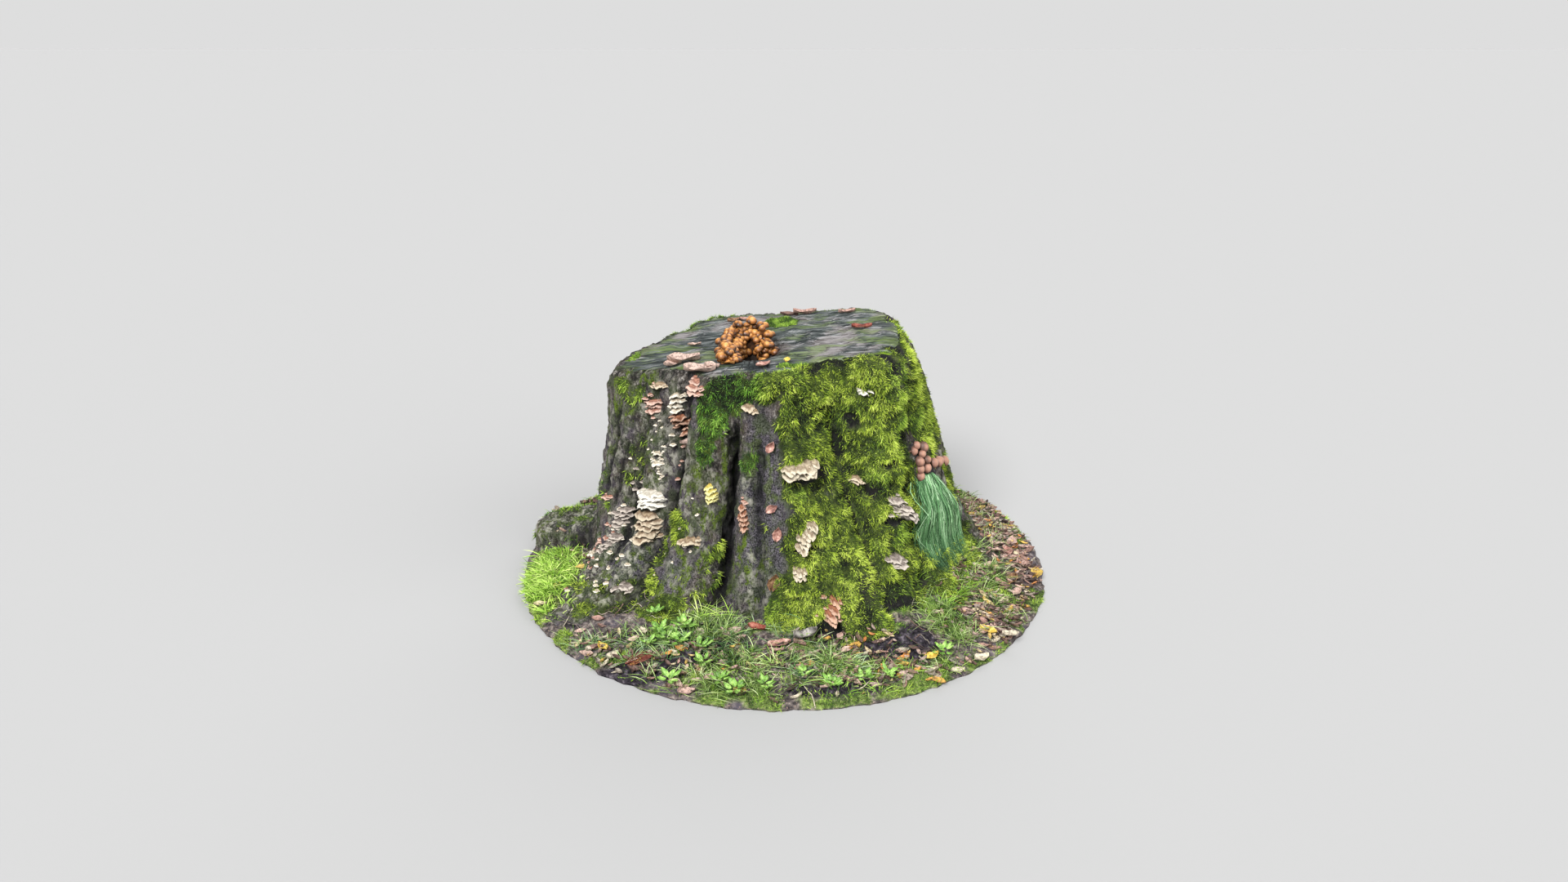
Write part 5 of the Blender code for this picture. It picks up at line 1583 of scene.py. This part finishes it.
TUFT_STOPS = [
    (0.0, (0.016, 0.050, 0.020)), (0.28, (0.060, 0.165, 0.060)), (0.55, (0.140, 0.330, 0.130)),
    (0.80, (0.28, 0.52, 0.25)), (1.0, (0.54, 0.76, 0.48)),
]
tuft_path, tuft_width, tuft_depth = tuft_net()
flank_out, flank_side = around(TUFT_ANGLE + 3)
twist = chance.uniform(-1.1, 1.1, TUFT_BLADES)
strand_side = flank_side * np.cos(twist)[:, None] + flank_out * np.sin(twist)[:, None]
points, quads, along, flat = ribbon_net(tuft_path, tuft_width, strand_side[:, None, :])
# Tone: strands near the bark, inside the tuft, are darker, which is painted shade, and the outer strands
# lighter, which is painted light. The rest varies at random.
tone = np.clip(0.08 + 0.50 * tuft_depth + chance.normal(size=TUFT_BLADES) * 0.33, 0, 1)
tone = np.repeat(tone, (TUFT_STEPS + 1) * 2)
tone = np.clip(tone + (field(points, 0.03, 2) - 0.5) * 0.35 - 0.2 * (along > 0.85), 0, 1)
new_piece(
    "tuft_of_fine_grass",
    points,
    quads,
    grass_finish("fine_grass", TUFT_STOPS),
    ("grass_tuft",),
    {"tone": tone},
    flat,
)

# %% [markdown]
# ## Grass on the ground
#
# Each clump of the frame becomes a stand of curved blades, and thinner grass is sown between them: a
# bright lawn on the left, mixed green in front, thin on the right. A blade leans out of its clump and
# bends over under its own weight.

# %% Clumps
# Each is (x, y, reach x, reach y, blades, length, width, finish).
CLUMPS = {
    "grass_left": (-0.870, -0.230, 0.085, 0.150, 900, 0.062, 0.0036, "lime"),
    "grass_front": (-0.165, -0.850, 0.130, 0.070, 420, 0.066, 0.0030, "green"),
    "grass_front_right": (0.130, -0.845, 0.120, 0.065, 320, 0.056, 0.0028, "deep"),
    "grass_middle": (-0.235, -0.660, 0.080, 0.050, 260, 0.090, 0.0030, "green"),
    "grass_right": (0.560, -0.590, 0.090, 0.060, 230, 0.062, 0.0026, "green"),
    "grass_back": (0.150, 0.850, 0.130, 0.070, 400, 0.066, 0.0030, "green"),
}
# Each ramp runs from a blade's root, darkened as painted shade, to its tip.
GRASS_STOPS = {
    "lime": [
        (0.0, (0.040, 0.095, 0.012)), (0.35, (0.190, 0.360, 0.035)), (0.7, (0.42, 0.67, 0.090)),
        (1.0, (0.74, 0.88, 0.28)),
    ],
    "green": [
        (0.0, (0.020, 0.045, 0.010)), (0.35, (0.105, 0.190, 0.036)), (0.7, (0.30, 0.44, 0.110)),
        (1.0, (0.66, 0.76, 0.40)),
    ],
    "deep": [
        (0.0, (0.024, 0.055, 0.022)), (0.35, (0.080, 0.170, 0.060)), (0.7, (0.20, 0.36, 0.130)),
        (1.0, (0.48, 0.62, 0.36)),
    ],
}
grass_tones = {name: grass_finish("grass_" + name, stops) for name, stops in GRASS_STOPS.items()}


FOOT_REACH = 0.13


def on_ground(x, y):
    """The top of the ground, or of the stump's foot where it is higher."""
    start = Vector((x, y, 0.6))
    soil = ground_tree.ray_cast(start, Vector((0, 0, -1)))[0]
    root = skin_tree.ray_cast(start, Vector((0, 0, -1)))[0]
    height = soil.z if soil else 0.04
    return max(height, root.z) if root and root.z < FOOT_REACH else height


def grass_net(places_xy, lengths, widths, lean_out, steps=4):
    count = len(places_xy)
    roots = np.array([(x, y, on_ground(x, y) - 0.003) for x, y in places_xy])
    sway = chance.normal(size=(count, 3)) * [0.38, 0.38, 0.05]
    ways = unit(UP + sway + np.concatenate([lean_out, np.zeros((count, 1))], axis=1))
    bends = np.concatenate([sway[:, :2] * 0.9 + lean_out * 0.8, np.full((count, 1), -0.35)], axis=1)
    return blade_net(roots, ways, bends, lengths, widths, steps, 1.6)


def blade_tones(points, points_each, along, base=0.42):
    """Dark at the root, which is painted shade among the blades, bright at the tip, and whole tussocks
    lighter or darker than their neighbours.
    """
    roots = points[::points_each]
    tone = base + chance.normal(size=len(roots)) * 0.20 + (field(roots, 0.045, 2, 2.9) - 0.5) * 0.75
    return np.clip(np.repeat(tone, points_each) + (along - 0.45) * 0.66, 0, 1)


for name, (x, y, reach_x, reach_y, count, length, width, tone_name) in CLUMPS.items():
    turn = chance.uniform(0, 2 * math.pi, count)
    radius = np.sqrt(chance.random(count))
    offset = np.stack([np.cos(turn) * radius, np.sin(turn) * radius], axis=1)
    spots_xy = offset * [reach_x, reach_y] + [x, y]
    reach_now = np.linalg.norm(spots_xy, axis=1)
    spots_xy *= np.minimum(1, (ROUND_RADIUS - 0.03) / reach_now)[:, None]
    lengths = length * chance.uniform(0.45, 1.05, count)
    points, faces, along, flat = grass_net(
        spots_xy, lengths, width * chance.uniform(0.7, 1.2, count), offset * 0.25
    )
    far = np.linalg.norm(points[:, :2], axis=1)
    points[:, :2] *= np.minimum(1, (ROUND_RADIUS + 0.02) / np.maximum(far, 1e-6))[:, None]
    new_piece(
        "stand_of_" + name,
        points,
        faces,
        grass_tones[tone_name],
        (name,),
        {"tone": blade_tones(points, 9, along)},
        flat,
    )

# %% Thin grass between the clumps
# Each bed is (x, y, half x, half y, blades, length, width, finish, tone).
GRASS_BEDS = [
    (-0.88, -0.26, 0.10, 0.20, 3400, 0.050, 0.0030, "lime", 0.52),
    (-0.10, -0.86, 0.46, 0.12, 800, 0.074, 0.0026, "green", 0.48),
    (0.30, -0.82, 0.34, 0.12, 420, 0.036, 0.0024, "green", 0.46),
    (0.06, -0.86, 0.44, 0.10, 450, 0.046, 0.0026, "lime", 0.50),
    (-0.22, -0.72, 0.38, 0.08, 650, 0.070, 0.0026, "deep", 0.48),
    (-0.30, -0.66, 0.20, 0.08, 380, 0.064, 0.0026, "green", 0.50),
    (0.54, -0.60, 0.16, 0.12, 420, 0.066, 0.0024, "green", 0.48),
    (-0.60, -0.66, 0.18, 0.12, 260, 0.040, 0.0024, "green", 0.45),
    (0.70, -0.34, 0.16, 0.32, 1000, 0.074, 0.0022, "green", 0.48),
    (0.62, -0.46, 0.14, 0.16, 200, 0.074, 0.0022, "green", 0.46),
    (0.60, -0.42, 0.10, 0.14, 400, 0.080, 0.0022, "lime", 0.36),
    (0.80, 0.30, 0.16, 0.30, 600, 0.055, 0.0024, "green", 0.45),
    (0.40, 0.80, 0.35, 0.14, 900, 0.060, 0.0026, "green", 0.46),
    (-0.45, 0.78, 0.35, 0.14, 1000, 0.060, 0.0026, "green", 0.46),
    (-0.86, 0.36, 0.12, 0.26, 800, 0.038, 0.0026, "green", 0.46),
    (-0.250, -0.595, 0.060, 0.02, 66, 0.125, 0.0022, "lime", 0.58),
]
TUSSOCK_BLADES = 22
TUSSOCK_RADIUS = 0.012


def dark_cover_at(spots_xy):
    return places(np.c_[spots_xy, np.zeros(len(spots_xy))], DARK_GROUND_PLACES[:3])


bed_parts = {name: [] for name in GRASS_STOPS}
for x, y, half_x, half_y, count, length, width, tone_name, base in GRASS_BEDS:
    middles = chance.normal(
        size=(max(count // TUSSOCK_BLADES, 1), 2)
    ) * [half_x * 0.55, half_y * 0.55] + [x, y]
    offset = chance.normal(size=(count, 2)) * TUSSOCK_RADIUS
    spots_xy = middles[chance.integers(len(middles), size=count)] + offset
    reach_now = np.linalg.norm(spots_xy, axis=1)
    inside = (reach_now < ROUND_RADIUS - 0.020) & (dark_cover_at(spots_xy) < 0.6)
    spots_xy = spots_xy[inside]
    outward = offset[inside] / TUSSOCK_RADIUS * 0.30
    count = len(spots_xy)
    points, faces, along, flat = grass_net(
        spots_xy,
        length * chance.uniform(0.4, 1.1, count),
        width * chance.uniform(0.7, 1.2, count),
        outward,
        3,
    )
    far = np.linalg.norm(points[:, :2], axis=1)
    points[:, :2] *= np.minimum(1, (ROUND_RADIUS + 0.012) / np.maximum(far, 1e-6))[:, None]
    bed_parts[tone_name].append((points, faces, blade_tones(points, 7, along, base)))
for tone_name, parts in bed_parts.items():
    points, faces, tone = joined(parts)
    count = len(points) // 7
    across = math.ceil(math.sqrt(count))
    cell = np.stack([np.arange(count) % across, np.arange(count) // across], axis=-1)
    inside = np.array(
        [(0.15, 0.1), (0.85, 0.1), (0.15, 0.37), (0.85, 0.37), (0.15, 0.63), (0.85, 0.63), (0.5, 0.9)]
    )
    new_piece(
        "thin_grass_" + tone_name,
        points,
        faces,
        grass_tones[tone_name],
        (),
        {"tone": tone},
        (cell[:, None, :] + inside) / across,
    )

# %% [markdown]
# ## Leaves
#
# A leaf is a grid of points, narrow at both ends, folded along its midrib and curled as it dries. Its
# veins are a painted layer. The named leaves of the frame each get one, and some hundreds of scraps of
# the same kind, with twigs, make the litter.

# %% Leaf maker
LEAF_ROWS = 11
LEAF_COLUMNS = 7
LEAF_THICKNESS = 0.0008


def leaf_net(place, along, side, normal, length, width, curl, rows=LEAF_ROWS, columns=LEAF_COLUMNS):
    s = np.linspace(0, 1, rows)[:, None]
    u = np.linspace(-1, 1, columns)[None, :]
    outline = np.sin(math.pi * np.clip(s, 0.015, 0.985) ** 0.85) ** 0.75
    half = 0.5 * width * outline * (1 + 0.07 * np.sin(s * 40 + chance.random() * 6) * np.abs(u))
    lift = curl * (u * u) + curl * 0.9 * (2 * s - 1) ** 2 * chance.uniform(0.4, 1.2)
    lift = lift + 0.05 * width * np.sin(s * 9 + u * 2 + chance.random() * 6)
    lift = lift + 0.10 * width * np.abs(u) + 0.002
    forward = (s - 0.5) * length + 0 * u
    points = place + along * forward[..., None] + side * (u * half)[..., None] + normal * lift[..., None]
    midrib = np.clip(1 - np.abs(u) * 6, 0, 1)
    vein = midrib + 0.7 * np.clip(1 - np.abs(np.sin((s - np.abs(u) * 0.18) * math.pi * 7)) * 3.5, 0, 1)
    return points.reshape(-1, 3), net_faces(rows, columns, False), np.clip(vein, 0, 1).ravel()


def leaf_finish(name, stops, vein_colour):
    finish, tree, shader = new_finish(name, 0.6, 0.35)
    blotch = plus(tree, grain(tree, 45, 4), swing(tree, grain(tree, 170, 3), 0.5))
    colour = ramp(tree, blotch, stops)
    colour = mixed(tree, times(tree, layer(tree, "vein"), 0.45), colour, vein_colour)
    colour_in(tree, shader, colour)
    bumped(tree, shader, plus(tree, layer(tree, "vein"), blotch), 0.0012, 0.6)
    return finish


LEAF_STOPS = {
    "leaf_pink": (
        [(0.32, (0.14, 0.055, 0.045)), (0.5, (0.40, 0.205, 0.165)), (0.68, (0.66, 0.44, 0.36))],
        (0.24, 0.11, 0.08),
    ),
    "leaf_red": (
        [(0.32, (0.085, 0.018, 0.012)), (0.5, (0.25, 0.060, 0.040)), (0.68, (0.42, 0.16, 0.11))],
        (0.12, 0.03, 0.02),
    ),
    "leaf_yellow": (
        [(0.32, (0.36, 0.19, 0.025)), (0.5, (0.68, 0.47, 0.075)), (0.68, (0.86, 0.72, 0.22))],
        (0.42, 0.25, 0.05),
    ),
    "leaf_brown": (
        [(0.32, (0.075, 0.036, 0.018)), (0.5, (0.24, 0.125, 0.062)), (0.68, (0.48, 0.30, 0.17))],
        (0.12, 0.06, 0.03),
    ),
    "loose_bark": (
        [(0.32, (0.045, 0.040, 0.036)), (0.5, (0.17, 0.155, 0.14)), (0.68, (0.42, 0.39, 0.35))],
        (0.08, 0.07, 0.06),
    ),
}
leaf_tones = {name: leaf_finish(name, *recipe) for name, recipe in LEAF_STOPS.items()}

# Ground leaves: x, y, heading, length, width, curl, finish.
GROUND_LEAVES = {
    "leaf_front_orange": (-0.015, -0.745, 15, 0.078, 0.040, 0.008, "leaf_pink"),
    "leaf_front_red": (-0.090, -0.675, -20, 0.062, 0.036, 0.008, "leaf_red"),
    "leaf_front_yellow": (0.480, -0.760, 35, 0.060, 0.034, 0.006, "leaf_yellow"),
    "leaf_right_yellow": (0.690, -0.610, -35, 0.064, 0.038, 0.007, "leaf_yellow"),
    "leaf_right_brown": (0.840, -0.270, 60, 0.075, 0.040, 0.008, "leaf_brown"),
    "leaf_right_pink": (0.860, -0.060, 100, 0.068, 0.040, 0.007, "leaf_pink"),
    "leaf_left_yellow": (-0.600, -0.700, 130, 0.050, 0.030, 0.006, "leaf_yellow"),
    "leaf_back_brown": (-0.420, 0.790, 20, 0.072, 0.042, 0.008, "leaf_brown"),
    "bark_scrap": (0.070, -0.725, 25, 0.085, 0.046, 0.014, "loose_bark"),
}
# On the cut, the same values.
CUT_LEAVES = {
    "leaf_cut_tan": (-0.190, 0.300, 20, 0.062, 0.036, 0.006, "leaf_brown"),
    "leaf_cut_pink": (-0.070, -0.300, 35, 0.056, 0.032, 0.006, "leaf_pink"),
    "leaf_cut_yellow": (0.010, -0.290, 75, 0.036, 0.024, 0.005, "leaf_yellow"),
    "leaf_cut_red": (0.280, 0.000, 5, 0.075, 0.038, 0.006, "leaf_red"),
}
# On the bark: angle, height, heading, length, width, curl, finish.
BARK_LEAVES = {
    "leaf_bark_a": (271.8, 0.657, 60, 0.044, 0.028, 0.006, "leaf_pink"),
    "leaf_bark_b": (272.0, 0.457, 30, 0.044, 0.030, 0.006, "leaf_pink"),
    "leaf_bark_c": (273.9, 0.376, 80, 0.052, 0.032, 0.006, "leaf_pink"),
    "leaf_bark_d": (272.5, 0.221, 75, 0.064, 0.042, 0.008, "leaf_brown"),
}


def one_leaf(name, place, along, normal, length, width, curl, tone_name):
    points, quads, vein = leaf_net(place, along, np.cross(normal, along), normal, length, width, curl)
    piece = new_piece("dry_" + name, points, quads, leaf_tones[tone_name], (name,), {"vein": vein})
    piece.modifiers.new("thickness", "SOLIDIFY").thickness = LEAF_THICKNESS


def heading_of(degrees):
    turn = math.radians(degrees)
    return np.array([math.cos(turn), math.sin(turn), 0.0])


def on_cut(x, y):
    return np.array(below(skin_tree, x, y))


for name, (x, y, heading, *form) in GROUND_LEAVES.items():
    one_leaf(name, np.array([x, y, on_ground(x, y) + 0.004]), heading_of(heading), UP, *form)
for name, (x, y, heading, *form) in CUT_LEAVES.items():
    one_leaf(name, on_cut(x, y) + UP * 0.003, heading_of(heading), UP, *form)
for name, (angle, height, heading, *form) in BARK_LEAVES.items():
    out, side = around(angle)
    turn = math.radians(heading)
    along = side * math.cos(turn) + UP * math.sin(turn)
    one_leaf(name, on_skin(angle, height) + out * 0.008, along, out, *form)

# %% Litter and twigs
# Each heap is (x, y, half x, half y, scraps).
LITTER_HEAPS = [
    (0.86, -0.10, 0.14, 0.45, 560), (0.74, -0.56, 0.16, 0.14, 300), (0.40, -0.82, 0.26, 0.10, 150),
    (0.0, -0.80, 0.36, 0.14, 190), (-0.42, -0.78, 0.28, 0.12, 130), (-0.66, -0.66, 0.14, 0.10, 40),
    (-0.86, -0.22, 0.10, 0.20, 34), (0.82, 0.35, 0.16, 0.28, 320), (0.30, 0.82, 0.40, 0.14, 260),
    (-0.45, 0.78, 0.35, 0.14, 230), (-0.86, 0.35, 0.12, 0.25, 100), (0.66, -0.30, 0.10, 0.2, 90),
]
# Single leaves: x, y, heading, length, width, kind (a place on the litter finish's ramp).
STREWN = [
    (-0.172, -0.675, 20, 0.066, 0.044, 0.56), (-0.335, -0.620, 70, 0.052, 0.034, 0.42),
    (-0.280, -0.670, 100, 0.046, 0.038, 0.84), (-0.304, -0.930, 10, 0.056, 0.036, 0.52),
    (-0.137, -0.935, -15, 0.042, 0.026, 0.97), (0.650, -0.735, 25, 0.056, 0.040, 0.86),
    (0.490, -0.862, -30, 0.050, 0.030, 0.97), (0.950, -0.185, 80, 0.070, 0.044, 0.95),
    (0.900, 0.040, 70, 0.070, 0.040, 0.56), (-0.866, -0.420, 0, 0.046, 0.030, 0.88),
    (-0.820, -0.330, 60, 0.040, 0.026, 0.96), (-0.560, -0.740, 50, 0.050, 0.034, 0.86),
    (-0.640, -0.700, 35, 0.040, 0.028, 0.84), (-0.470, -0.660, 120, 0.040, 0.028, 0.84),
    (-0.340, -0.900, -40, 0.060, 0.034, 0.58), (-0.230, -0.880, 30, 0.050, 0.032, 0.54),
    (0.900, -0.130, 95, 0.064, 0.036, 0.50), (0.840, -0.350, 55, 0.060, 0.034, 0.54),
    (0.560, -0.810, 15, 0.048, 0.032, 0.84), (0.200, -0.780, 40, 0.044, 0.028, 0.56),
    (0.760, -0.640, 0, 0.056, 0.036, 0.84),
]
CUT_STREWN = [
    (-0.350, -0.165, 10, 0.115, 0.070, 0.62), (-0.285, -0.285, -5, 0.110, 0.070, 0.62),
    (-0.385, -0.190, 28, 0.066, 0.046, 0.60), (-0.325, -0.305, 18, 0.070, 0.050, 0.62),
    (-0.245, -0.262, -28, 0.060, 0.040, 0.58), (-0.212, -0.222, -55, 0.050, 0.030, 0.99),
    (-0.195, -0.245, -30, 0.062, 0.034, 0.99), (0.080, 0.270, 8, 0.090, 0.040, 0.42),
    (0.020, 0.290, -5, 0.070, 0.034, 0.22), (-0.330, 0.060, 12, 0.050, 0.022, 0.58),
    (0.240, 0.240, 20, 0.070, 0.032, 0.44), (-0.150, 0.290, 0, 0.050, 0.026, 0.40),
]
TWIG_COUNT = 230
scraps = []
for x, y, half_x, half_y, count in LITTER_HEAPS:
    for number in range(count):
        px = x + chance.normal() * half_x * 0.6
        py = y + chance.normal() * half_y * 0.6
        if math.hypot(px, py) > ROUND_RADIUS - 0.03:
            continue
        normal = unit(np.array([chance.normal() * 0.3, chance.normal() * 0.3, 1.0]))
        heading = math.atan2(py, px) + chance.normal() * (0.5 if px > 0.5 else 2.0)
        along = unit(np.cross(np.cross(normal, [math.cos(heading), math.sin(heading), 0]), normal))
        length = chance.uniform(0.016, 0.048)
        place = np.array([px, py, on_ground(px, py) + 0.003])
        points, quads, vein = leaf_net(
            place,
            along,
            np.cross(normal, along),
            normal,
            length,
            length * chance.uniform(0.35, 0.6),
            chance.uniform(0.001, 0.007),
            5,
            5,
        )
        scraps.append((points, quads, vein, np.full(len(points), chance.random() ** 1.15)))


def strewn_leaf(place, heading, length, width, kind):
    along = heading_of(heading)
    points, quads, vein = leaf_net(place, along, np.cross(UP, along), UP, length, width, 0.10 * length, 9, 7)
    scraps.append((points, quads, vein, np.full(len(points), kind)))


for x, y, heading, length, width, kind in STREWN:
    strewn_leaf(np.array([x, y, on_ground(x, y) + 0.006]), heading, length, width, kind)
for x, y, heading, length, width, kind in CUT_STREWN:
    top = skin_tree.ray_cast(Vector((x, y, 1.3)), Vector((0, 0, -1)))[0]
    strewn_leaf(np.array(top) + UP * 0.003, heading, length, width, kind)


def litter_finish():
    finish, tree, shader = new_finish("litter", 0.7, 0.25)
    kinds = ramp(
        tree,
        layer(tree, "kind"),
        [
            (0.00, (0.060, 0.044, 0.040)), (0.22, (0.20, 0.120, 0.098)), (0.40, (0.42, 0.25, 0.205)),
            (0.60, (0.62, 0.45, 0.38)), (0.74, (0.24, 0.21, 0.18)), (0.86, (0.66, 0.58, 0.44)),
            (0.95, (0.66, 0.46, 0.10)), (1.00, (0.66, 0.26, 0.08)),
        ],
    )
    colour = veiled(tree, kinds, (0.045, 0.035, 0.030), grain(tree, 110, 3), 0.45, 0.62, 0.6)
    colour = mixed(tree, times(tree, layer(tree, "vein"), 0.3), colour, (0.10, 0.06, 0.04))
    colour_in(tree, shader, colour)
    bumped(tree, shader, grain(tree, 180, 3), 0.001, 0.6)
    return finish


litter_tone = litter_finish()
points, quads, vein, kind = joined(scraps)
new_piece("litter_scraps", points, quads, litter_tone, (), {"vein": vein, "kind": kind})

twigs = []
TWIG_SIDES = 5
for number in range(TWIG_COUNT):
    turn = chance.uniform(0, 2 * math.pi)
    reach_now = chance.uniform(0.68, ROUND_RADIUS - 0.06)
    px, py = math.cos(turn) * reach_now, math.sin(turn) * reach_now
    heading = chance.uniform(0, 2 * math.pi)
    length = chance.uniform(0.03, 0.11)
    radius = chance.uniform(0.0009, 0.0026)
    rings = []
    for step in range(6):
        t = step / 5 - 0.5
        centre = np.array([px, py, 0]) + heading_of(math.degrees(heading + 0.5 * t)) * length * t
        far = math.hypot(centre[0], centre[1])
        centre[:2] *= min(1, (ROUND_RADIUS - 0.01) / far)
        centre[2] = on_ground(centre[0], centre[1]) + 0.004 + 0.004 * math.sin(step * 2.1 + number)
        ring_turn = np.linspace(0, 2 * math.pi, TWIG_SIDES, endpoint=False)
        side = np.cross(UP, heading_of(math.degrees(heading)))
        taper = radius * (1.0 - 0.6 * step / 5)
        rings.append(centre + (side * np.cos(ring_turn)[:, None] + UP * np.sin(ring_turn)[:, None]) * taper)
    net = np.array(rings)
    twigs.append(
        (
            net.reshape(-1, 3),
            net_faces(6, TWIG_SIDES),
            np.zeros(6 * TWIG_SIDES),
            np.full(6 * TWIG_SIDES, chance.choice([0.05, 0.2, 0.7, 0.75, 0.84])),
        )
    )
points, quads, vein, kind = joined(twigs)
new_piece("twigs", points, quads, litter_tone, (), {"vein": vein, "kind": kind})

# %% [markdown]
# ## Low plants and a dry frond
#
# In front grow a few plants with broad, light green leaves on short stalks, and a dry brown frond lies
# there like a comb: a bent midrib with narrow leaflets on both sides.

# %% Leafy plants
# Each plant is (x, y, leaves, leaf length).
PLANTS = [
    (-0.385, -0.690, 14, 0.040), (-0.345, -0.715, 10, 0.034), (-0.420, -0.665, 10, 0.032),
    (-0.270, -0.735, 9, 0.028), (-0.330, -0.650, 10, 0.034), (-0.440, -0.720, 8, 0.026),
    (-0.360, -0.890, 6, 0.036), (-0.150, -0.945, 12, 0.030), (0.147, -0.925, 12, 0.028),
    (0.520, -0.735, 10, 0.028), (-0.060, -0.930, 9, 0.026), (0.250, -0.890, 9, 0.026),
    (-0.200, -0.900, 9, 0.028), (0.060, -0.880, 8, 0.024), (-0.435, -0.600, 5, 0.030),
    (0.330, -0.880, 8, 0.026), (-0.260, -0.820, 8, 0.028),
]
PLANT_STOPS = (
    [(0.32, (0.060, 0.15, 0.020)), (0.5, (0.20, 0.40, 0.055)), (0.68, (0.48, 0.66, 0.20))],
    (0.42, 0.60, 0.25),
)
leaves = []
for x, y, count, size in PLANTS:
    base = np.array([x, y, on_ground(x, y)])
    for number in range(count):
        turn = number * 2.4 + chance.uniform(-0.3, 0.3)
        out = heading_of(math.degrees(turn))
        tilt = chance.uniform(0.25, 0.95)
        along = unit(out + UP * tilt)
        normal = unit(UP - out * tilt)
        place = base + out * size * chance.uniform(0.5, 1.1) + UP * (0.012 + size * tilt * 0.9)
        length = size * chance.uniform(0.8, 1.2)
        side = np.cross(normal, along)
        leaves.append(leaf_net(place, along, side, normal, length, size * 0.55, 0.003, 7, 5))
points, quads, vein = joined(leaves)
new_piece(
    "leafy_plants",
    points,
    quads,
    leaf_finish("plant_leaf", *PLANT_STOPS),
    ("plants_front",),
    {"vein": vein},
)

# %% Dry frond
FROND_PLACE = (-0.470, -0.775)
FROND_HEADING = 40
FROND_REACH = 0.090
FROND_SPREAD = 0.066
LEAFLETS = 15
leaflets = []
along = heading_of(FROND_HEADING)
side = np.cross(UP, along)
base = np.array([*FROND_PLACE, on_ground(*FROND_PLACE) + 0.006])
for number in range(LEAFLETS):
    t = number / (LEAFLETS - 1)
    reach_here = FROND_SPREAD * 0.5 * math.sin(math.pi * (0.15 + 0.8 * t)) ** 0.7
    for hand in (-1, 1):
        way = unit(side * hand + along * 0.45)
        place = base + along * (t - 0.5) * FROND_REACH + way * reach_here * 0.5 + UP * 0.006 * math.sin(t * 3)
        leaflets.append(leaf_net(place, way, np.cross(UP, way), UP, reach_here, 0.0045, 0.0015, 5, 3))
leaflets.append(leaf_net(base, along, side, UP, FROND_REACH * 1.15, 0.003, 0.004, 7, 3))
points, quads, vein = joined(leaflets)
frond = new_piece(
    "dry_comb_frond", points, quads, leaf_tones["leaf_red"], ("dry_frond",), {"vein": vein}
)
frond.modifiers.new("thickness", "SOLIDIFY").thickness = LEAF_THICKNESS
